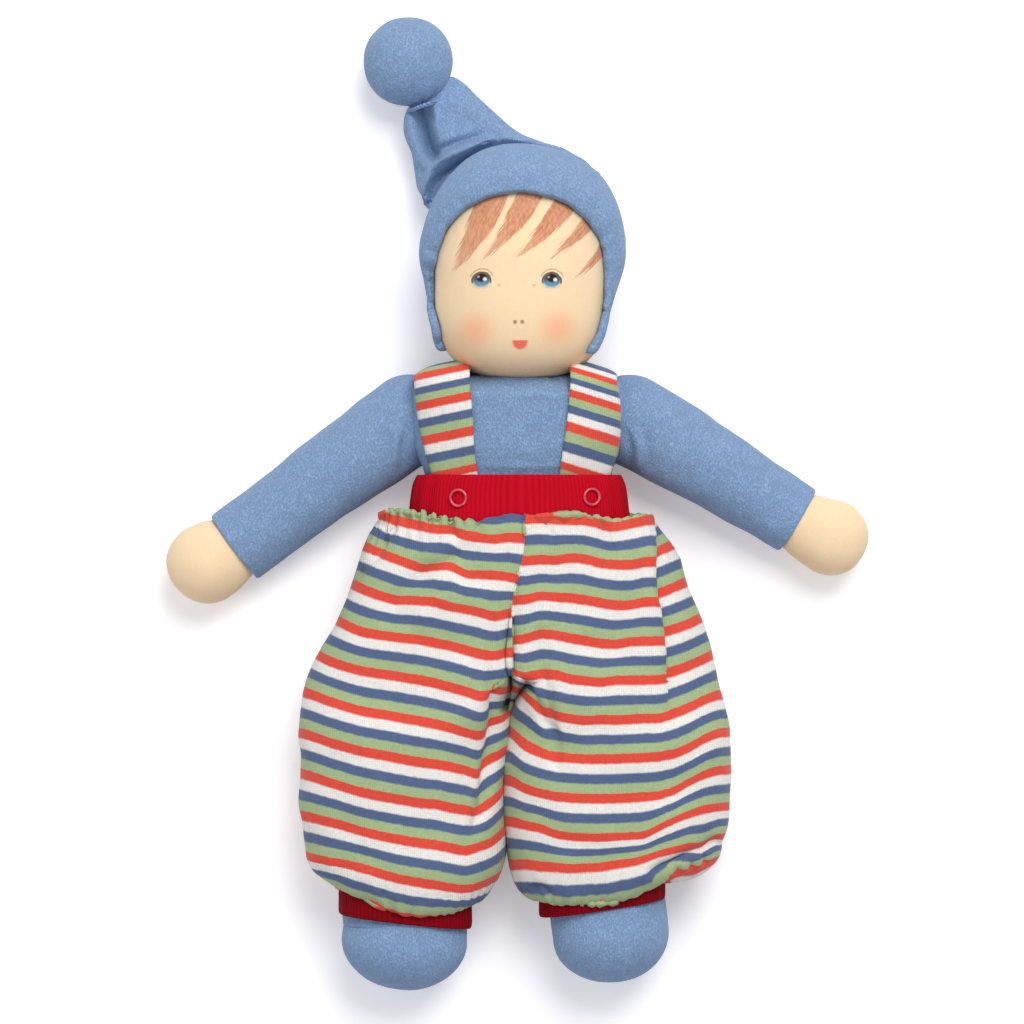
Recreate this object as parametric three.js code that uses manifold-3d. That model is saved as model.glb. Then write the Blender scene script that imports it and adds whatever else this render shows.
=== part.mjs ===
// A waldorf doll lying on its back: wool-stuffed velour body, tied tricot head and hands,
// pointed hood with a stuffed ball, and striped dungarees with press-stud straps.
// Millimetres. +X is the doll's own left, +Y points to the top of the head, +Z out of the face.
import * as THREE from "three";
import { mergeVertices } from "three/addons/utils/BufferGeometryUtils.js";
import Module from "manifold-3d";

const wasm = await Module();
wasm.setup();

// Clearances and cloth
const GAP = 0.3;
const OVERRUN = 12;
const WELD = 0.0001;
const VELOUR = 1.2;
const TRICOT = 0.8;
const JERSEY = 1;
const RIB = 1.5;
const STRAP_CLOTH = 1.2;
const THREAD_RADIUS = 0.8;

// Torso
const TORSO_HALF_WIDTH = 41.8;
const TORSO_HALF_DEPTH = 23;
const SHOULDER_TOP_Y = 53.4;
const SHOULDER_ROUND = 6;
const SHOULDER_Z = 32.5;
const SHOULDER_HALF_DEPTH = 20.5;
const CHEST_Y = 26;
const CHEST_Z = 27;
const WAIST_Y = 3.6;
const WAIST_Z = 25.5;
const WAIST_HALF_WIDTH = 36;
const WAIST_HALF_DEPTH = 19.5;
const HIP_Y = -33;
const HIP_Z = 25.5;
const HIP_HALF_WIDTH = 43;
const HIP_HALF_DEPTH = 21.5;
const SEAT_ROUND = 17.2;

// Head and neck
const HEAD_X = 1.6;
const HEAD_Z = 36;
const CHIN_Y = 49.6;
const CHEEK_Y = 84;
const TEMPLE_Y = 93;
const SKULL_TOP_Y = 134;
const HEAD_HALF_WIDTH = 34.6;
const HEAD_HALF_DEPTH = 33;
const NECK_RADIUS = 10;
const NECK_END_Y = 33;
const NECK_TIE_Y = 48;

// Hood
const HOOD_X = 1.8;
const HOOD_HALF_WIDTH = 40.8;
const HOOD_JAW_HALF_WIDTH = 39.6;
const HOOD_HALF_DEPTH = 38;
const HOOD_JAW_Y = 80;
const HOOD_CROWN_Y = 102;
const HOOD_NAPE_Y = 57;
const HOOD_NAPE_ROUND = 31;
const FACE_X = 1.2;
const FACE_Y = 90;
const FACE_HALF_WIDTH = 33.8;
const FACE_TOP_Y = 123.6;
const FACE_FOOT_HALF_WIDTH = 27.4;
const FACE_FOOT_Y = 59.4;
const FACE_BACK_Z = 40;

// Hat tip and ball
const BALL_X = -43.8;
const BALL_Y = 177.6;
const BALL_RADIUS = 18;
const TIE_X = -38.6;
const TIE_Y = 162.8;
const HAT_NECK_RADIUS = 4.6;
const HAT_TIE_ROOM = 3;
const HAT_FAN_HALF_WIDTH = 12;
const HAT_FAN_HALF_DEPTH = 8;
const HAT_FAN_Z = 13;
const HAT_FAN_SHARE = 0.5;
const HAT_MIDDLE_X = -24;
const HAT_MIDDLE_Y = 149;
const HAT_MIDDLE_HALF_WIDTH = 19.5;
const HAT_MIDDLE_HALF_DEPTH = 11;
const HAT_ROOT_X = -9;
const HAT_ROOT_Y = 136;
const HAT_ROOT_HALF_WIDTH = 28;
const HAT_ROOT_HALF_DEPTH = 15;
const HAT_SEAT_X = 5;
const HAT_SEAT_Y = 115;
const HAT_SEAT_HALF_WIDTH = 33;
const HAT_SEAT_HALF_DEPTH = 24;

// Waistband, press studs and trousers
const BAND_TOP_Y = 11.6;
const BAND_BOTTOM_Y = -8.8;
const STUD_RING_RADIUS = 3;
const STUD_RING_WIRE = 0.55;
const SOCKET_RADIUS = 3.6;
const SOCKET_BORE = 2.2;
const SOCKET_HEIGHT = 1.5;
const STUD_BASE_RADIUS = 3.4;
const STUD_BASE_HEIGHT = 0.5;
const STUD_POST_RADIUS = 1.7;
const STUD_Y = 2.6;
const TROUSER_TOP_Y = -4;
const TROUSER_TOP_HALF_WIDTH = 51;
const TROUSER_TOP_HALF_DEPTH = 27;
const TROUSER_Z = 25;
const TROUSER_GATHER = 4;
const TROUSER_HALF_DEPTH = 27.5;
const TROUSER_HIP_HALF_WIDTH = 66;
const TROUSER_HIP_Y = -30;
const SEAT_LINE_Y = -62;
const SEAT_HALF_WIDTH = 75;
const CROTCH_X = -1.8;
const LEG_RIFT = 1.8;
const TROUSER_LEG_ROUND = 21;

// Arms
const SHOULDER_BALL_RADIUS = 17.4;
const SHOULDER_BALL_Y = 34.2;
const SHOULDER_BALL_Z = 19;
const SLEEVE_INSET = 8;
const WRIST_NECK_RADIUS = 9.6;
const STUFFING_END_ROOM = 2;
const ARM_MIDDLE_SHARE = 0.5;
const ARM_TAPER_SHARE = 0.6;

// Legs
const HIP_BALL_Y = -68;
const HIP_BALL_RADIUS = 17;
const HIP_SEAM_HEIGHT = 9;
const THIGH_HALF_WIDTH = 19;
const THIGH_HALF_DEPTH = 18.5;
const FOOT_HALF_DEPTH = 22.5;
const FOOT_ROUND = 19;
const CUFF_TUCK = 7;
const KNEE_SHARE = 0.5;

// Places and sizes that differ between the doll's two sides
const RIGHT = {
  name: "right",
  shoulderX: -43,
  wristX: -113,
  wristY: -16.8,
  wristRadius: 15.6,
  handX: -124.2,
  handY: -23.2,
  handRadius: 16.4,
  strapTopOuterX: -40.6,
  strapTopInnerX: -19.8,
  strapFootOuterX: -35.8,
  strapFootInnerX: -16.6,
  studX: -23.4,
  hipX: -24.5,
  legX: -46.4,
  legHalfWidth: 41.4,
  kneeY: -112,
  trouserEndY: -141,
  cuffTopY: -155.6,
  cuffEndY: -168.4,
  cuffX: -44.8,
  cuffHalfWidth: 26.4,
  footX: -45.4,
  footHalfWidth: 25.2,
  footTipY: -194.4,
};
const LEFT = {
  name: "left",
  shoulderX: 44,
  wristX: 111.8,
  wristY: -6,
  wristRadius: 14.4,
  handX: 125.8,
  handY: -13.6,
  handRadius: 15.4,
  strapTopOuterX: 40.2,
  strapTopInnerX: 21.8,
  strapFootOuterX: 38,
  strapFootInnerX: 17.8,
  studX: 29.4,
  hipX: 22.5,
  legX: 41.4,
  legHalfWidth: 44.4,
  kneeY: -112,
  trouserEndY: -138,
  cuffTopY: -150.4,
  cuffEndY: -165.2,
  cuffX: 35.6,
  cuffHalfWidth: 24.8,
  footX: 37.6,
  footHalfWidth: 23.4,
  footTipY: -191.6,
};

// Facets round and along the pieces
const SIDES = 14;
const HEAD_SIDES = 20;
const SMALL_SIDES = 12;
const STRAP_SIDES = 24;
const THREAD_SIDES = 5;
const DOME_STEPS = 3;
const HEAD_DOME_STEPS = 4;
const SPAN_STEPS = 2;
const CONE_STEPS = 5;
const HAND_STEPS = 4;
const LEG_STEPS = 4;
const FACE_STEPS = 12;
const ROUND_POWER = 2;
const FLAT_POWER = 2.8;
const JAW_POWER = 2.7;
const HALVINGS = 40;
const UP = new THREE.Vector3(0, 0, 1);

// Layers that lie one over the other, measured outwards from the torso's cover
const STRAP_INSIDE = GAP;
const STRAP_OUTSIDE = STRAP_INSIDE + STRAP_CLOTH;
const BACK_RING_ROOM = 2 * STUD_RING_WIRE + 2 * GAP;
const BAND_INSIDE = BACK_RING_ROOM + STRAP_OUTSIDE + SOCKET_HEIGHT + STUD_BASE_HEIGHT + 5 * GAP;
const BAND_OUTSIDE = BAND_INSIDE + RIB;
const TORSO_FLOOR = RIB + GAP + STRAP_CLOTH + GAP;
const CUFF_ROOM = 3 * GAP;
const LEG_FLOOR = JERSEY + 2 * GAP + RIB + CUFF_ROOM;
const LEG_Z = LEG_FLOOR + THIGH_HALF_DEPTH;

const fabric = (color, roughness = 0.9) => new THREE.MeshStandardMaterial({ color, roughness, metalness: 0 });
const VELOUR_BLUE = fabric("#6a92bd", 0.95);
const SKIN = fabric("#f4d3a8");
const WOOL = fabric("#efe8d8", 1);
const THREAD = fabric("#e9e2d4");
const RIB_RED = fabric("#c0142a");
const STRIPED = fabric("#c9b9a8");
const STEEL = new THREE.MeshStandardMaterial({ color: "#c9b8b4", roughness: 0.3, metalness: 0.9 });

// A closed geometry as a solid that can be cut and joined
function solidOf(geometry) {
  const bare = geometry.clone();
  bare.deleteAttribute("normal");
  bare.deleteAttribute("uv");
  const merged = mergeVertices(bare, WELD);
  const corners = merged.index.array;
  const places = merged.attributes.position;
  const kept = [];
  let volume = 0;
  const points = [new THREE.Vector3(), new THREE.Vector3(), new THREE.Vector3()];
  for (let i = 0; i < corners.length; i += 3) {
    const trio = [corners[i], corners[i + 1], corners[i + 2]];
    if (new Set(trio).size < trio.length) continue;
    kept.push(...trio);
    trio.forEach((corner, k) => points[k].fromBufferAttribute(places, corner));
    volume += points[0].dot(points[1].clone().cross(points[2]));
  }
  if (volume < 0) kept.reverse();
  const mesh = new wasm.Mesh({
    numProp: 3,
    vertProperties: new Float32Array(places.array),
    triVerts: new Uint32Array(kept),
  });
  return new wasm.Manifold(mesh);
}

// A soft form follows a spine through stations, each with its half width, half depth and lowest level
function softForm(stations, ends = {}) {
  const places = stations.map(({ at }) => new THREE.Vector3(...at));
  const sizes = stations.map(({ wide, deep }) => new THREE.Vector3(wide, deep, 0));
  return {
    spine: new THREE.CatmullRomCurve3(places),
    sizes: new THREE.CatmullRomCurve3(sizes),
    floors: stations.map(({ floor = 0 }) => floor),
    steps: (stations.length - 1) * SPAN_STEPS,
    startDome: 0,
    startPower: ROUND_POWER,
    endDome: 0,
    power: ROUND_POWER,
    sides: SIDES,
    domeSteps: DOME_STEPS,
    ...ends,
  };
}

// The lowest level of a form changes evenly from station to station
function floorOf(form, share) {
  const span = share * (form.floors.length - 1);
  const before = Math.floor(span);
  const after = Math.min(before + 1, form.floors.length - 1);
  return THREE.MathUtils.lerp(form.floors[before], form.floors[after], span - before);
}

// The cross-section of a form at a share of its length, moved beyond its end and shrunk by a dome
function ringOf(form, share, beyond, shrink, grow) {
  const along = form.spine.getTangent(share);
  const side = new THREE.Vector3().crossVectors(along, UP).normalize();
  const rise = new THREE.Vector3().crossVectors(side, along);
  const size = form.sizes.getPoint(share);
  return {
    centre: form.spine.getPoint(share).addScaledVector(along, beyond),
    side: side.multiplyScalar((size.x + grow) * shrink),
    rise: rise.multiplyScalar((size.y + grow) * shrink),
    floor: floorOf(form, share) - grow,
  };
}

// All cross-sections of a form from end to end, a dome or a flat overrun at each end
function ringsOf(form, grow, overrun) {
  const rings = [];
  const dome = (share, length, step, power = ROUND_POWER) => {
    const angle = (step / form.domeSteps) * (Math.PI / 2);
    const fullness = ROUND_POWER / power;
    const beyond = (length + Math.sign(length) * grow) * Math.sin(angle) ** fullness;
    rings.push(ringOf(form, share, beyond, Math.cos(angle) ** fullness, grow));
  };
  for (let step = form.domeSteps; step > 0 && form.startDome; step -= 1) {
    dome(0, -form.startDome, step, form.startPower);
  }
  const runsOut = { start: !form.startDome && overrun, end: !form.endDome && overrun };
  if (runsOut.start) rings.push(ringOf(form, 0, -overrun, 1, grow));
  for (let step = 0; step <= form.steps; step += 1) {
    let beyond = 0;
    if (step === 0 && runsOut.start) beyond = -GAP;
    if (step === form.steps && runsOut.end) beyond = GAP;
    rings.push(ringOf(form, step / form.steps, beyond, 1, grow));
  }
  if (runsOut.end) rings.push(ringOf(form, 1, overrun, 1, grow));
  for (let step = 1; step <= form.domeSteps && form.endDome; step += 1) dome(1, form.endDome, step);
  return rings;
}

// A unit lathe, one profile point to a ring, is laid over the form's rings
function solidForm(form, grow = 0, overrun = 0) {
  const rings = ringsOf(form, grow, overrun);
  const last = rings.length - 1;
  const profile = rings.map((ring, index) => new THREE.Vector2(1, index));
  const geometry = new THREE.LatheGeometry(
    [new THREE.Vector2(0, 0), ...profile, new THREE.Vector2(0, last)],
    form.sides,
  );
  const places = geometry.attributes.position;
  const rounded = (value) => Math.sign(value) * Math.abs(value) ** (2 / form.power);
  for (let i = 0; i < places.count; i += 1) {
    const ring = rings[Math.round(places.getY(i))];
    const radius = Math.hypot(places.getX(i), places.getZ(i));
    const across = radius ? rounded(places.getX(i) / radius) * Math.round(radius) : 0;
    const upward = radius ? rounded(places.getZ(i) / radius) * Math.round(radius) : 0;
    const place = ring.centre.clone().addScaledVector(ring.side, across).addScaledVector(ring.rise, upward);
    places.setXYZ(i, place.x, place.y, Math.max(place.z, ring.floor));
  }
  return solidOf(geometry);
}

const hollowForm = (form, wall) => solidForm(form).subtract(solidForm(form, -wall, OVERRUN));

function ball(x, y, z, radius, sides = SIDES) {
  const geometry = new THREE.SphereGeometry(radius, sides, sides / 2);
  return solidOf(geometry.translate(x, y, z));
}

// A straight round bar along Y
function barAlongY(x, z, fromY, toY, radius) {
  const geometry = new THREE.CylinderGeometry(radius, radius, toY - fromY, SIDES);
  return solidOf(geometry.translate(x, (fromY + toY) / 2, z));
}

function box(low, high) {
  const size = high.map((value, axis) => value - low[axis]);
  const centre = high.map((value, axis) => (value + low[axis]) / 2);
  return solidOf(new THREE.BoxGeometry(...size).translate(...centre));
}

// A geometry made about Y, turned to stand on a place and face along a direction
function facing(geometry, place, direction) {
  const turn = new THREE.Quaternion().setFromUnitVectors(new THREE.Vector3(0, 1, 0), direction);
  return geometry.applyQuaternion(turn).translate(place.x, place.y, place.z);
}

function threadRing(place, direction, innerRadius) {
  const radius = innerRadius / Math.cos(Math.PI / SMALL_SIDES) + THREAD_RADIUS;
  const geometry = new THREE.TorusGeometry(radius, THREAD_RADIUS, THREAD_SIDES, SMALL_SIDES);
  return solidOf(facing(geometry.rotateX(Math.PI / 2), place, direction));
}

const doll = new THREE.Group();

function addPiece(name, solid, material) {
  const { vertProperties, triVerts } = solid.getMesh();
  const geometry = new THREE.BufferGeometry();
  geometry.setAttribute("position", new THREE.BufferAttribute(new Float32Array(vertProperties), 3));
  geometry.setIndex(new THREE.BufferAttribute(new Uint32Array(triVerts), 1));
  geometry.computeVertexNormals();
  const mesh = new THREE.Mesh(geometry, material);
  mesh.name = name;
  doll.add(mesh);
}

// Forms that several pieces share
function torsoStations(waistRoom, floor = TORSO_FLOOR) {
  return [
    { at: [0, HIP_Y, HIP_Z], wide: HIP_HALF_WIDTH, deep: HIP_HALF_DEPTH, floor },
    {
      at: [0, WAIST_Y, WAIST_Z],
      wide: WAIST_HALF_WIDTH + waistRoom,
      deep: WAIST_HALF_DEPTH + waistRoom,
      floor,
    },
    { at: [0, CHEST_Y, CHEST_Z], wide: TORSO_HALF_WIDTH, deep: TORSO_HALF_DEPTH, floor },
    {
      at: [0, SHOULDER_TOP_Y - SHOULDER_ROUND, SHOULDER_Z],
      wide: TORSO_HALF_WIDTH,
      deep: SHOULDER_HALF_DEPTH,
      floor,
    },
  ];
}
const torsoEnds = { startDome: SEAT_ROUND, endDome: SHOULDER_ROUND, power: FLAT_POWER };
const torsoForm = softForm(torsoStations(0), torsoEnds);
const strapForm = softForm(torsoStations(BACK_RING_ROOM), { ...torsoEnds, sides: STRAP_SIDES });
const bandForm = softForm(torsoStations(0, BAND_OUTSIDE), { ...torsoEnds, sides: STRAP_SIDES });
const roundHead = { sides: HEAD_SIDES, domeSteps: HEAD_DOME_STEPS, steps: 1 };
const headEnds = {
  startDome: CHEEK_Y - CHIN_Y,
  startPower: JAW_POWER,
  endDome: SKULL_TOP_Y - TEMPLE_Y,
  ...roundHead,
};
const headForm = softForm(
  [
    { at: [HEAD_X, CHEEK_Y, HEAD_Z], wide: HEAD_HALF_WIDTH, deep: HEAD_HALF_DEPTH },
    { at: [HEAD_X, TEMPLE_Y, HEAD_Z], wide: HEAD_HALF_WIDTH, deep: HEAD_HALF_DEPTH },
  ],
  headEnds,
);
const hoodForm = softForm(
  [
    { at: [HOOD_X, HOOD_JAW_Y, HEAD_Z], wide: HOOD_JAW_HALF_WIDTH, deep: HOOD_HALF_DEPTH },
    { at: [HOOD_X, HOOD_CROWN_Y, HEAD_Z], wide: HOOD_HALF_WIDTH, deep: HOOD_HALF_DEPTH },
  ],
  { startDome: HOOD_NAPE_ROUND, endDome: HOOD_HALF_WIDTH, ...roundHead },
);
const turningRoom = softForm(
  [
    { at: [HEAD_X, CHEEK_Y, HEAD_Z], wide: HEAD_HALF_WIDTH, deep: HEAD_HALF_WIDTH, floor: -HEAD_Z },
    { at: [HEAD_X, TEMPLE_Y, HEAD_Z], wide: HEAD_HALF_WIDTH, deep: HEAD_HALF_WIDTH, floor: -HEAD_Z },
  ],
  headEnds,
);

function addHead() {
  const innerNeck = NECK_RADIUS - TRICOT;
  const coreNeck = innerNeck - GAP;
  const core = solidForm(headForm, -TRICOT - GAP);
  addPiece("head_core", core.add(barAlongY(HEAD_X, HEAD_Z, NECK_END_Y, CHEEK_Y, coreNeck)), WOOL);

  const outside = solidForm(headForm).add(barAlongY(HEAD_X, HEAD_Z, NECK_END_Y, CHEEK_Y, NECK_RADIUS));
  const neckBore = barAlongY(HEAD_X, HEAD_Z, NECK_END_Y - OVERRUN, CHEEK_Y, innerNeck);
  addPiece("head_skin", outside.subtract(solidForm(headForm, -TRICOT).add(neckBore)), SKIN);

  const tiePlace = new THREE.Vector3(HEAD_X, NECK_TIE_Y, HEAD_Z);
  addPiece("neck_tie", threadRing(tiePlace, new THREE.Vector3(0, 1, 0), NECK_RADIUS + GAP), THREAD);
}

function faceOpening() {
  const outline = new THREE.Shape();
  const foot = CHIN_Y - OVERRUN;
  outline.moveTo(FACE_X - FACE_FOOT_HALF_WIDTH, foot);
  outline.lineTo(FACE_X + FACE_FOOT_HALF_WIDTH, foot);
  outline.lineTo(FACE_X + FACE_FOOT_HALF_WIDTH, FACE_FOOT_Y);
  const cheekY = (FACE_FOOT_Y + FACE_Y) / 2;
  outline.quadraticCurveTo(FACE_X + FACE_HALF_WIDTH, cheekY, FACE_X + FACE_HALF_WIDTH, FACE_Y);
  outline.absellipse(FACE_X, FACE_Y, FACE_HALF_WIDTH, FACE_TOP_Y - FACE_Y, 0, Math.PI, false);
  outline.quadraticCurveTo(FACE_X - FACE_HALF_WIDTH, cheekY, FACE_X - FACE_FOOT_HALF_WIDTH, FACE_FOOT_Y);
  outline.closePath();
  const depth = HEAD_Z + HOOD_HALF_DEPTH + OVERRUN - FACE_BACK_Z;
  const settings = { depth, bevelEnabled: false, curveSegments: FACE_STEPS };
  const geometry = new THREE.ExtrudeGeometry(outline, settings);
  return solidOf(geometry.translate(0, 0, FACE_BACK_Z));
}

function addHood() {
  const reach = HOOD_HALF_WIDTH + OVERRUN;
  const nape = box(
    [HOOD_X - reach, HOOD_NAPE_Y - reach, -OVERRUN],
    [HOOD_X + reach, HOOD_NAPE_Y, HEAD_Z + reach],
  );
  const hood = solidForm(hoodForm).subtract(solidForm(headForm, GAP)).subtract(faceOpening()).subtract(nape);
  addPiece("hood", hood, VELOUR_BLUE);
}

// The limp cone runs from the ball's tie down to its seat on the hood's crown
function addHatTip() {
  const ballPlace = new THREE.Vector3(BALL_X, BALL_Y, BALL_RADIUS);
  const tiePlace = new THREE.Vector3(TIE_X, TIE_Y, BALL_RADIUS);
  const direction = tiePlace.clone().sub(ballPlace).normalize();
  const coneStart = ballPlace.clone().addScaledVector(direction, BALL_RADIUS + GAP);
  const coneFan = coneStart.clone().addScaledVector(direction, 2 * THREAD_RADIUS + HAT_TIE_ROOM);
  const fanOut = new THREE.Vector3(HAT_MIDDLE_X, HAT_MIDDLE_Y, BALL_RADIUS).lerp(coneFan, HAT_FAN_SHARE);
  const cone = softForm(
    [
      { at: coneStart.toArray(), wide: HAT_NECK_RADIUS, deep: HAT_NECK_RADIUS },
      { at: coneFan.toArray(), wide: HAT_NECK_RADIUS + GAP, deep: HAT_NECK_RADIUS + GAP },
      { at: [fanOut.x, fanOut.y, HAT_FAN_Z], wide: HAT_FAN_HALF_WIDTH, deep: HAT_FAN_HALF_DEPTH },
      {
        at: [HAT_MIDDLE_X, HAT_MIDDLE_Y, HAT_MIDDLE_HALF_DEPTH],
        wide: HAT_MIDDLE_HALF_WIDTH,
        deep: HAT_MIDDLE_HALF_DEPTH,
      },
      {
        at: [HAT_ROOT_X, HAT_ROOT_Y, HAT_ROOT_HALF_DEPTH],
        wide: HAT_ROOT_HALF_WIDTH,
        deep: HAT_ROOT_HALF_DEPTH,
      },
      {
        at: [HAT_SEAT_X, HAT_SEAT_Y, HAT_SEAT_HALF_DEPTH],
        wide: HAT_SEAT_HALF_WIDTH,
        deep: HAT_SEAT_HALF_DEPTH,
      },
    ],
    { sides: SMALL_SIDES, steps: CONE_STEPS },
  );
  addPiece("hat_tip", hollowForm(cone, VELOUR).subtract(solidForm(hoodForm, GAP)), VELOUR_BLUE);

  const threadPlace = coneStart.clone().addScaledVector(direction, THREAD_RADIUS);
  addPiece("hat_tie", threadRing(threadPlace, direction, HAT_NECK_RADIUS + 2 * GAP), THREAD);

  const outside = ball(BALL_X, BALL_Y, BALL_RADIUS, BALL_RADIUS);
  const inside = ball(BALL_X, BALL_Y, BALL_RADIUS, BALL_RADIUS - VELOUR);
  const mouthRadius = HAT_NECK_RADIUS - VELOUR;
  const mouth = new THREE.CylinderGeometry(mouthRadius, mouthRadius, OVERRUN, SMALL_SIDES);
  const mouthPlace = ballPlace.clone().addScaledVector(direction, BALL_RADIUS);
  const skin = outside.subtract(inside).subtract(solidOf(facing(mouth, mouthPlace, direction)));
  addPiece("hat_ball_cover", skin, VELOUR_BLUE);
  addPiece("hat_ball_stuffing", ball(BALL_X, BALL_Y, BALL_RADIUS, BALL_RADIUS - VELOUR - GAP), WOOL);
}

function sleeveForm(side) {
  const shoulder = new THREE.Vector3(side.shoulderX, SHOULDER_BALL_Y, SHOULDER_BALL_Z);
  const wrist = new THREE.Vector3(side.wristX, side.wristY, side.wristRadius);
  const middle = shoulder.clone().lerp(wrist, ARM_MIDDLE_SHARE);
  const middleRadius = THREE.MathUtils.lerp(SHOULDER_BALL_RADIUS, side.wristRadius, ARM_TAPER_SHARE);
  return softForm(
    [
      { at: shoulder.toArray(), wide: SHOULDER_BALL_RADIUS, deep: SHOULDER_BALL_RADIUS },
      { at: [middle.x, middle.y, middleRadius], wide: middleRadius, deep: middleRadius },
      { at: wrist.toArray(), wide: side.wristRadius, deep: side.wristRadius },
    ],
    { startDome: SHOULDER_BALL_RADIUS },
  );
}
const hipBall = (side, grow) => ball(side.hipX, HIP_BALL_Y, LEG_Z, HIP_BALL_RADIUS + grow);

// The torso is cut away round the neck, the head's turning room, the shoulders and the hips
function sockets() {
  const neckRoom = NECK_RADIUS + 2 * THREAD_RADIUS + 5 * GAP;
  let cutter = barAlongY(HEAD_X, HEAD_Z, NECK_END_Y - GAP, CHEEK_Y, neckRoom);
  cutter = cutter.add(solidForm(turningRoom, GAP));
  for (const side of [RIGHT, LEFT]) {
    cutter = cutter.add(solidForm(sleeveForm(side), GAP)).add(hipBall(side, 2 * GAP));
  }
  return cutter;
}

function addTorso() {
  const cutter = sockets();
  addPiece("torso_cover", hollowForm(torsoForm, VELOUR).subtract(cutter), VELOUR_BLUE);
  addPiece("torso_stuffing", solidForm(torsoForm, -VELOUR - GAP).subtract(cutter), WOOL);
}

function addStrap(side, cutter) {
  const outline = new THREE.Shape();
  const topY = SHOULDER_TOP_Y + OVERRUN;
  const slopeOuter = (side.strapTopOuterX - side.strapFootOuterX) / (SHOULDER_TOP_Y - BAND_TOP_Y);
  const slopeInner = (side.strapTopInnerX - side.strapFootInnerX) / (SHOULDER_TOP_Y - BAND_TOP_Y);
  const outerAt = (y) => side.strapFootOuterX + slopeOuter * (y - BAND_TOP_Y);
  const innerAt = (y) => side.strapFootInnerX + slopeInner * (y - BAND_TOP_Y);
  outline.moveTo(outerAt(BAND_BOTTOM_Y), BAND_BOTTOM_Y);
  outline.lineTo(innerAt(BAND_BOTTOM_Y), BAND_BOTTOM_Y);
  outline.lineTo(innerAt(topY), topY);
  outline.lineTo(outerAt(topY), topY);
  outline.closePath();
  const depth = HEAD_Z + HOOD_HALF_DEPTH;
  const prism = solidOf(new THREE.ExtrudeGeometry(outline, { depth, bevelEnabled: false }));
  const layer = solidForm(strapForm, STRAP_OUTSIDE).subtract(solidForm(strapForm, STRAP_INSIDE));
  addPiece(`${side.name}_strap`, layer.intersect(prism).subtract(cutter), STRIPED);
}

// The height of a form's front surface over a place
function frontLevel(form, x, y, grow) {
  const ring = ringOf(form, shareAtY(form, y), 0, 1, grow);
  const across = Math.abs(x - ring.centre.x) / ring.side.length();
  return ring.centre.z + ring.rise.length() * (1 - across ** form.power) ** (1 / form.power);
}

// The front surface of a form over a place, and the way that it faces
function frontOf(form, x, y, grow) {
  const level = (moveX, moveY) => frontLevel(form, x + moveX, y + moveY, grow);
  const slopeX = (level(GAP, 0) - level(-GAP, 0)) / (2 * GAP);
  const slopeY = (level(0, GAP) - level(0, -GAP)) / (2 * GAP);
  return {
    place: new THREE.Vector3(x, y, level(0, 0)),
    direction: new THREE.Vector3(-slopeX, -slopeY, 1).normalize(),
  };
}

function shareAtY(form, y) {
  let low = 0;
  let high = 1;
  for (let round = 0; round < HALVINGS; round += 1) {
    const middle = (low + high) / 2;
    if (form.spine.getPoint(middle).y < y) low = middle;
    else high = middle;
  }
  return (low + high) / 2;
}

function addPressStud(side) {
  const onStrap = frontOf(strapForm, side.studX, STUD_Y, STRAP_OUTSIDE);
  const { direction } = onStrap;
  const above = (height) => onStrap.place.clone().addScaledVector(direction, height);
  const ring = new THREE.TorusGeometry(STUD_RING_RADIUS, STUD_RING_WIRE, THREAD_SIDES, SMALL_SIDES);
  ring.rotateX(Math.PI / 2);

  const backRing = facing(ring.clone(), above(-STRAP_CLOTH - 2 * GAP - STUD_RING_WIRE), direction);
  addPiece(`${side.name}_stud_back_ring`, solidOf(backRing), STEEL);

  const studTop = STUD_BASE_HEIGHT + GAP + SOCKET_HEIGHT;
  const studProfile = [
    new THREE.Vector2(0, 0),
    new THREE.Vector2(STUD_BASE_RADIUS, 0),
    new THREE.Vector2(STUD_BASE_RADIUS, STUD_BASE_HEIGHT),
    new THREE.Vector2(STUD_POST_RADIUS, STUD_BASE_HEIGHT),
    new THREE.Vector2(STUD_POST_RADIUS, studTop - GAP),
    new THREE.Vector2(STUD_POST_RADIUS - GAP, studTop),
    new THREE.Vector2(0, studTop),
  ];
  const stud = facing(new THREE.LatheGeometry(studProfile, SMALL_SIDES), above(2 * GAP), direction);
  addPiece(`${side.name}_stud`, solidOf(stud), STEEL);

  const socketProfile = [
    new THREE.Vector2(SOCKET_BORE, 0),
    new THREE.Vector2(SOCKET_RADIUS, 0),
    new THREE.Vector2(SOCKET_RADIUS, SOCKET_HEIGHT),
    new THREE.Vector2(SOCKET_BORE, SOCKET_HEIGHT),
    new THREE.Vector2(SOCKET_BORE, 0),
  ];
  const socketSeat = above(2 * GAP + STUD_BASE_HEIGHT + GAP);
  const socket = facing(new THREE.LatheGeometry(socketProfile, SMALL_SIDES), socketSeat, direction);
  addPiece(`${side.name}_stud_socket`, solidOf(socket), STEEL);

  const onBand = frontOf(bandForm, side.studX, STUD_Y, BAND_OUTSIDE);
  const frontPlace = onBand.place.clone().addScaledVector(onBand.direction, 2 * GAP + STUD_RING_WIRE);
  addPiece(`${side.name}_stud_front_ring`, solidOf(facing(ring, frontPlace, onBand.direction)), STEEL);
}

function acrossBand(lowY, highY) {
  const reach = SEAT_HALF_WIDTH + OVERRUN;
  return box([-reach, lowY, -reach], [reach, highY, reach]);
}

function addWaistband() {
  const layer = solidForm(bandForm, BAND_OUTSIDE).subtract(solidForm(bandForm, BAND_INSIDE));
  addPiece("waistband", layer.intersect(acrossBand(BAND_BOTTOM_Y, BAND_TOP_Y)), RIB_RED);
}

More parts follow.
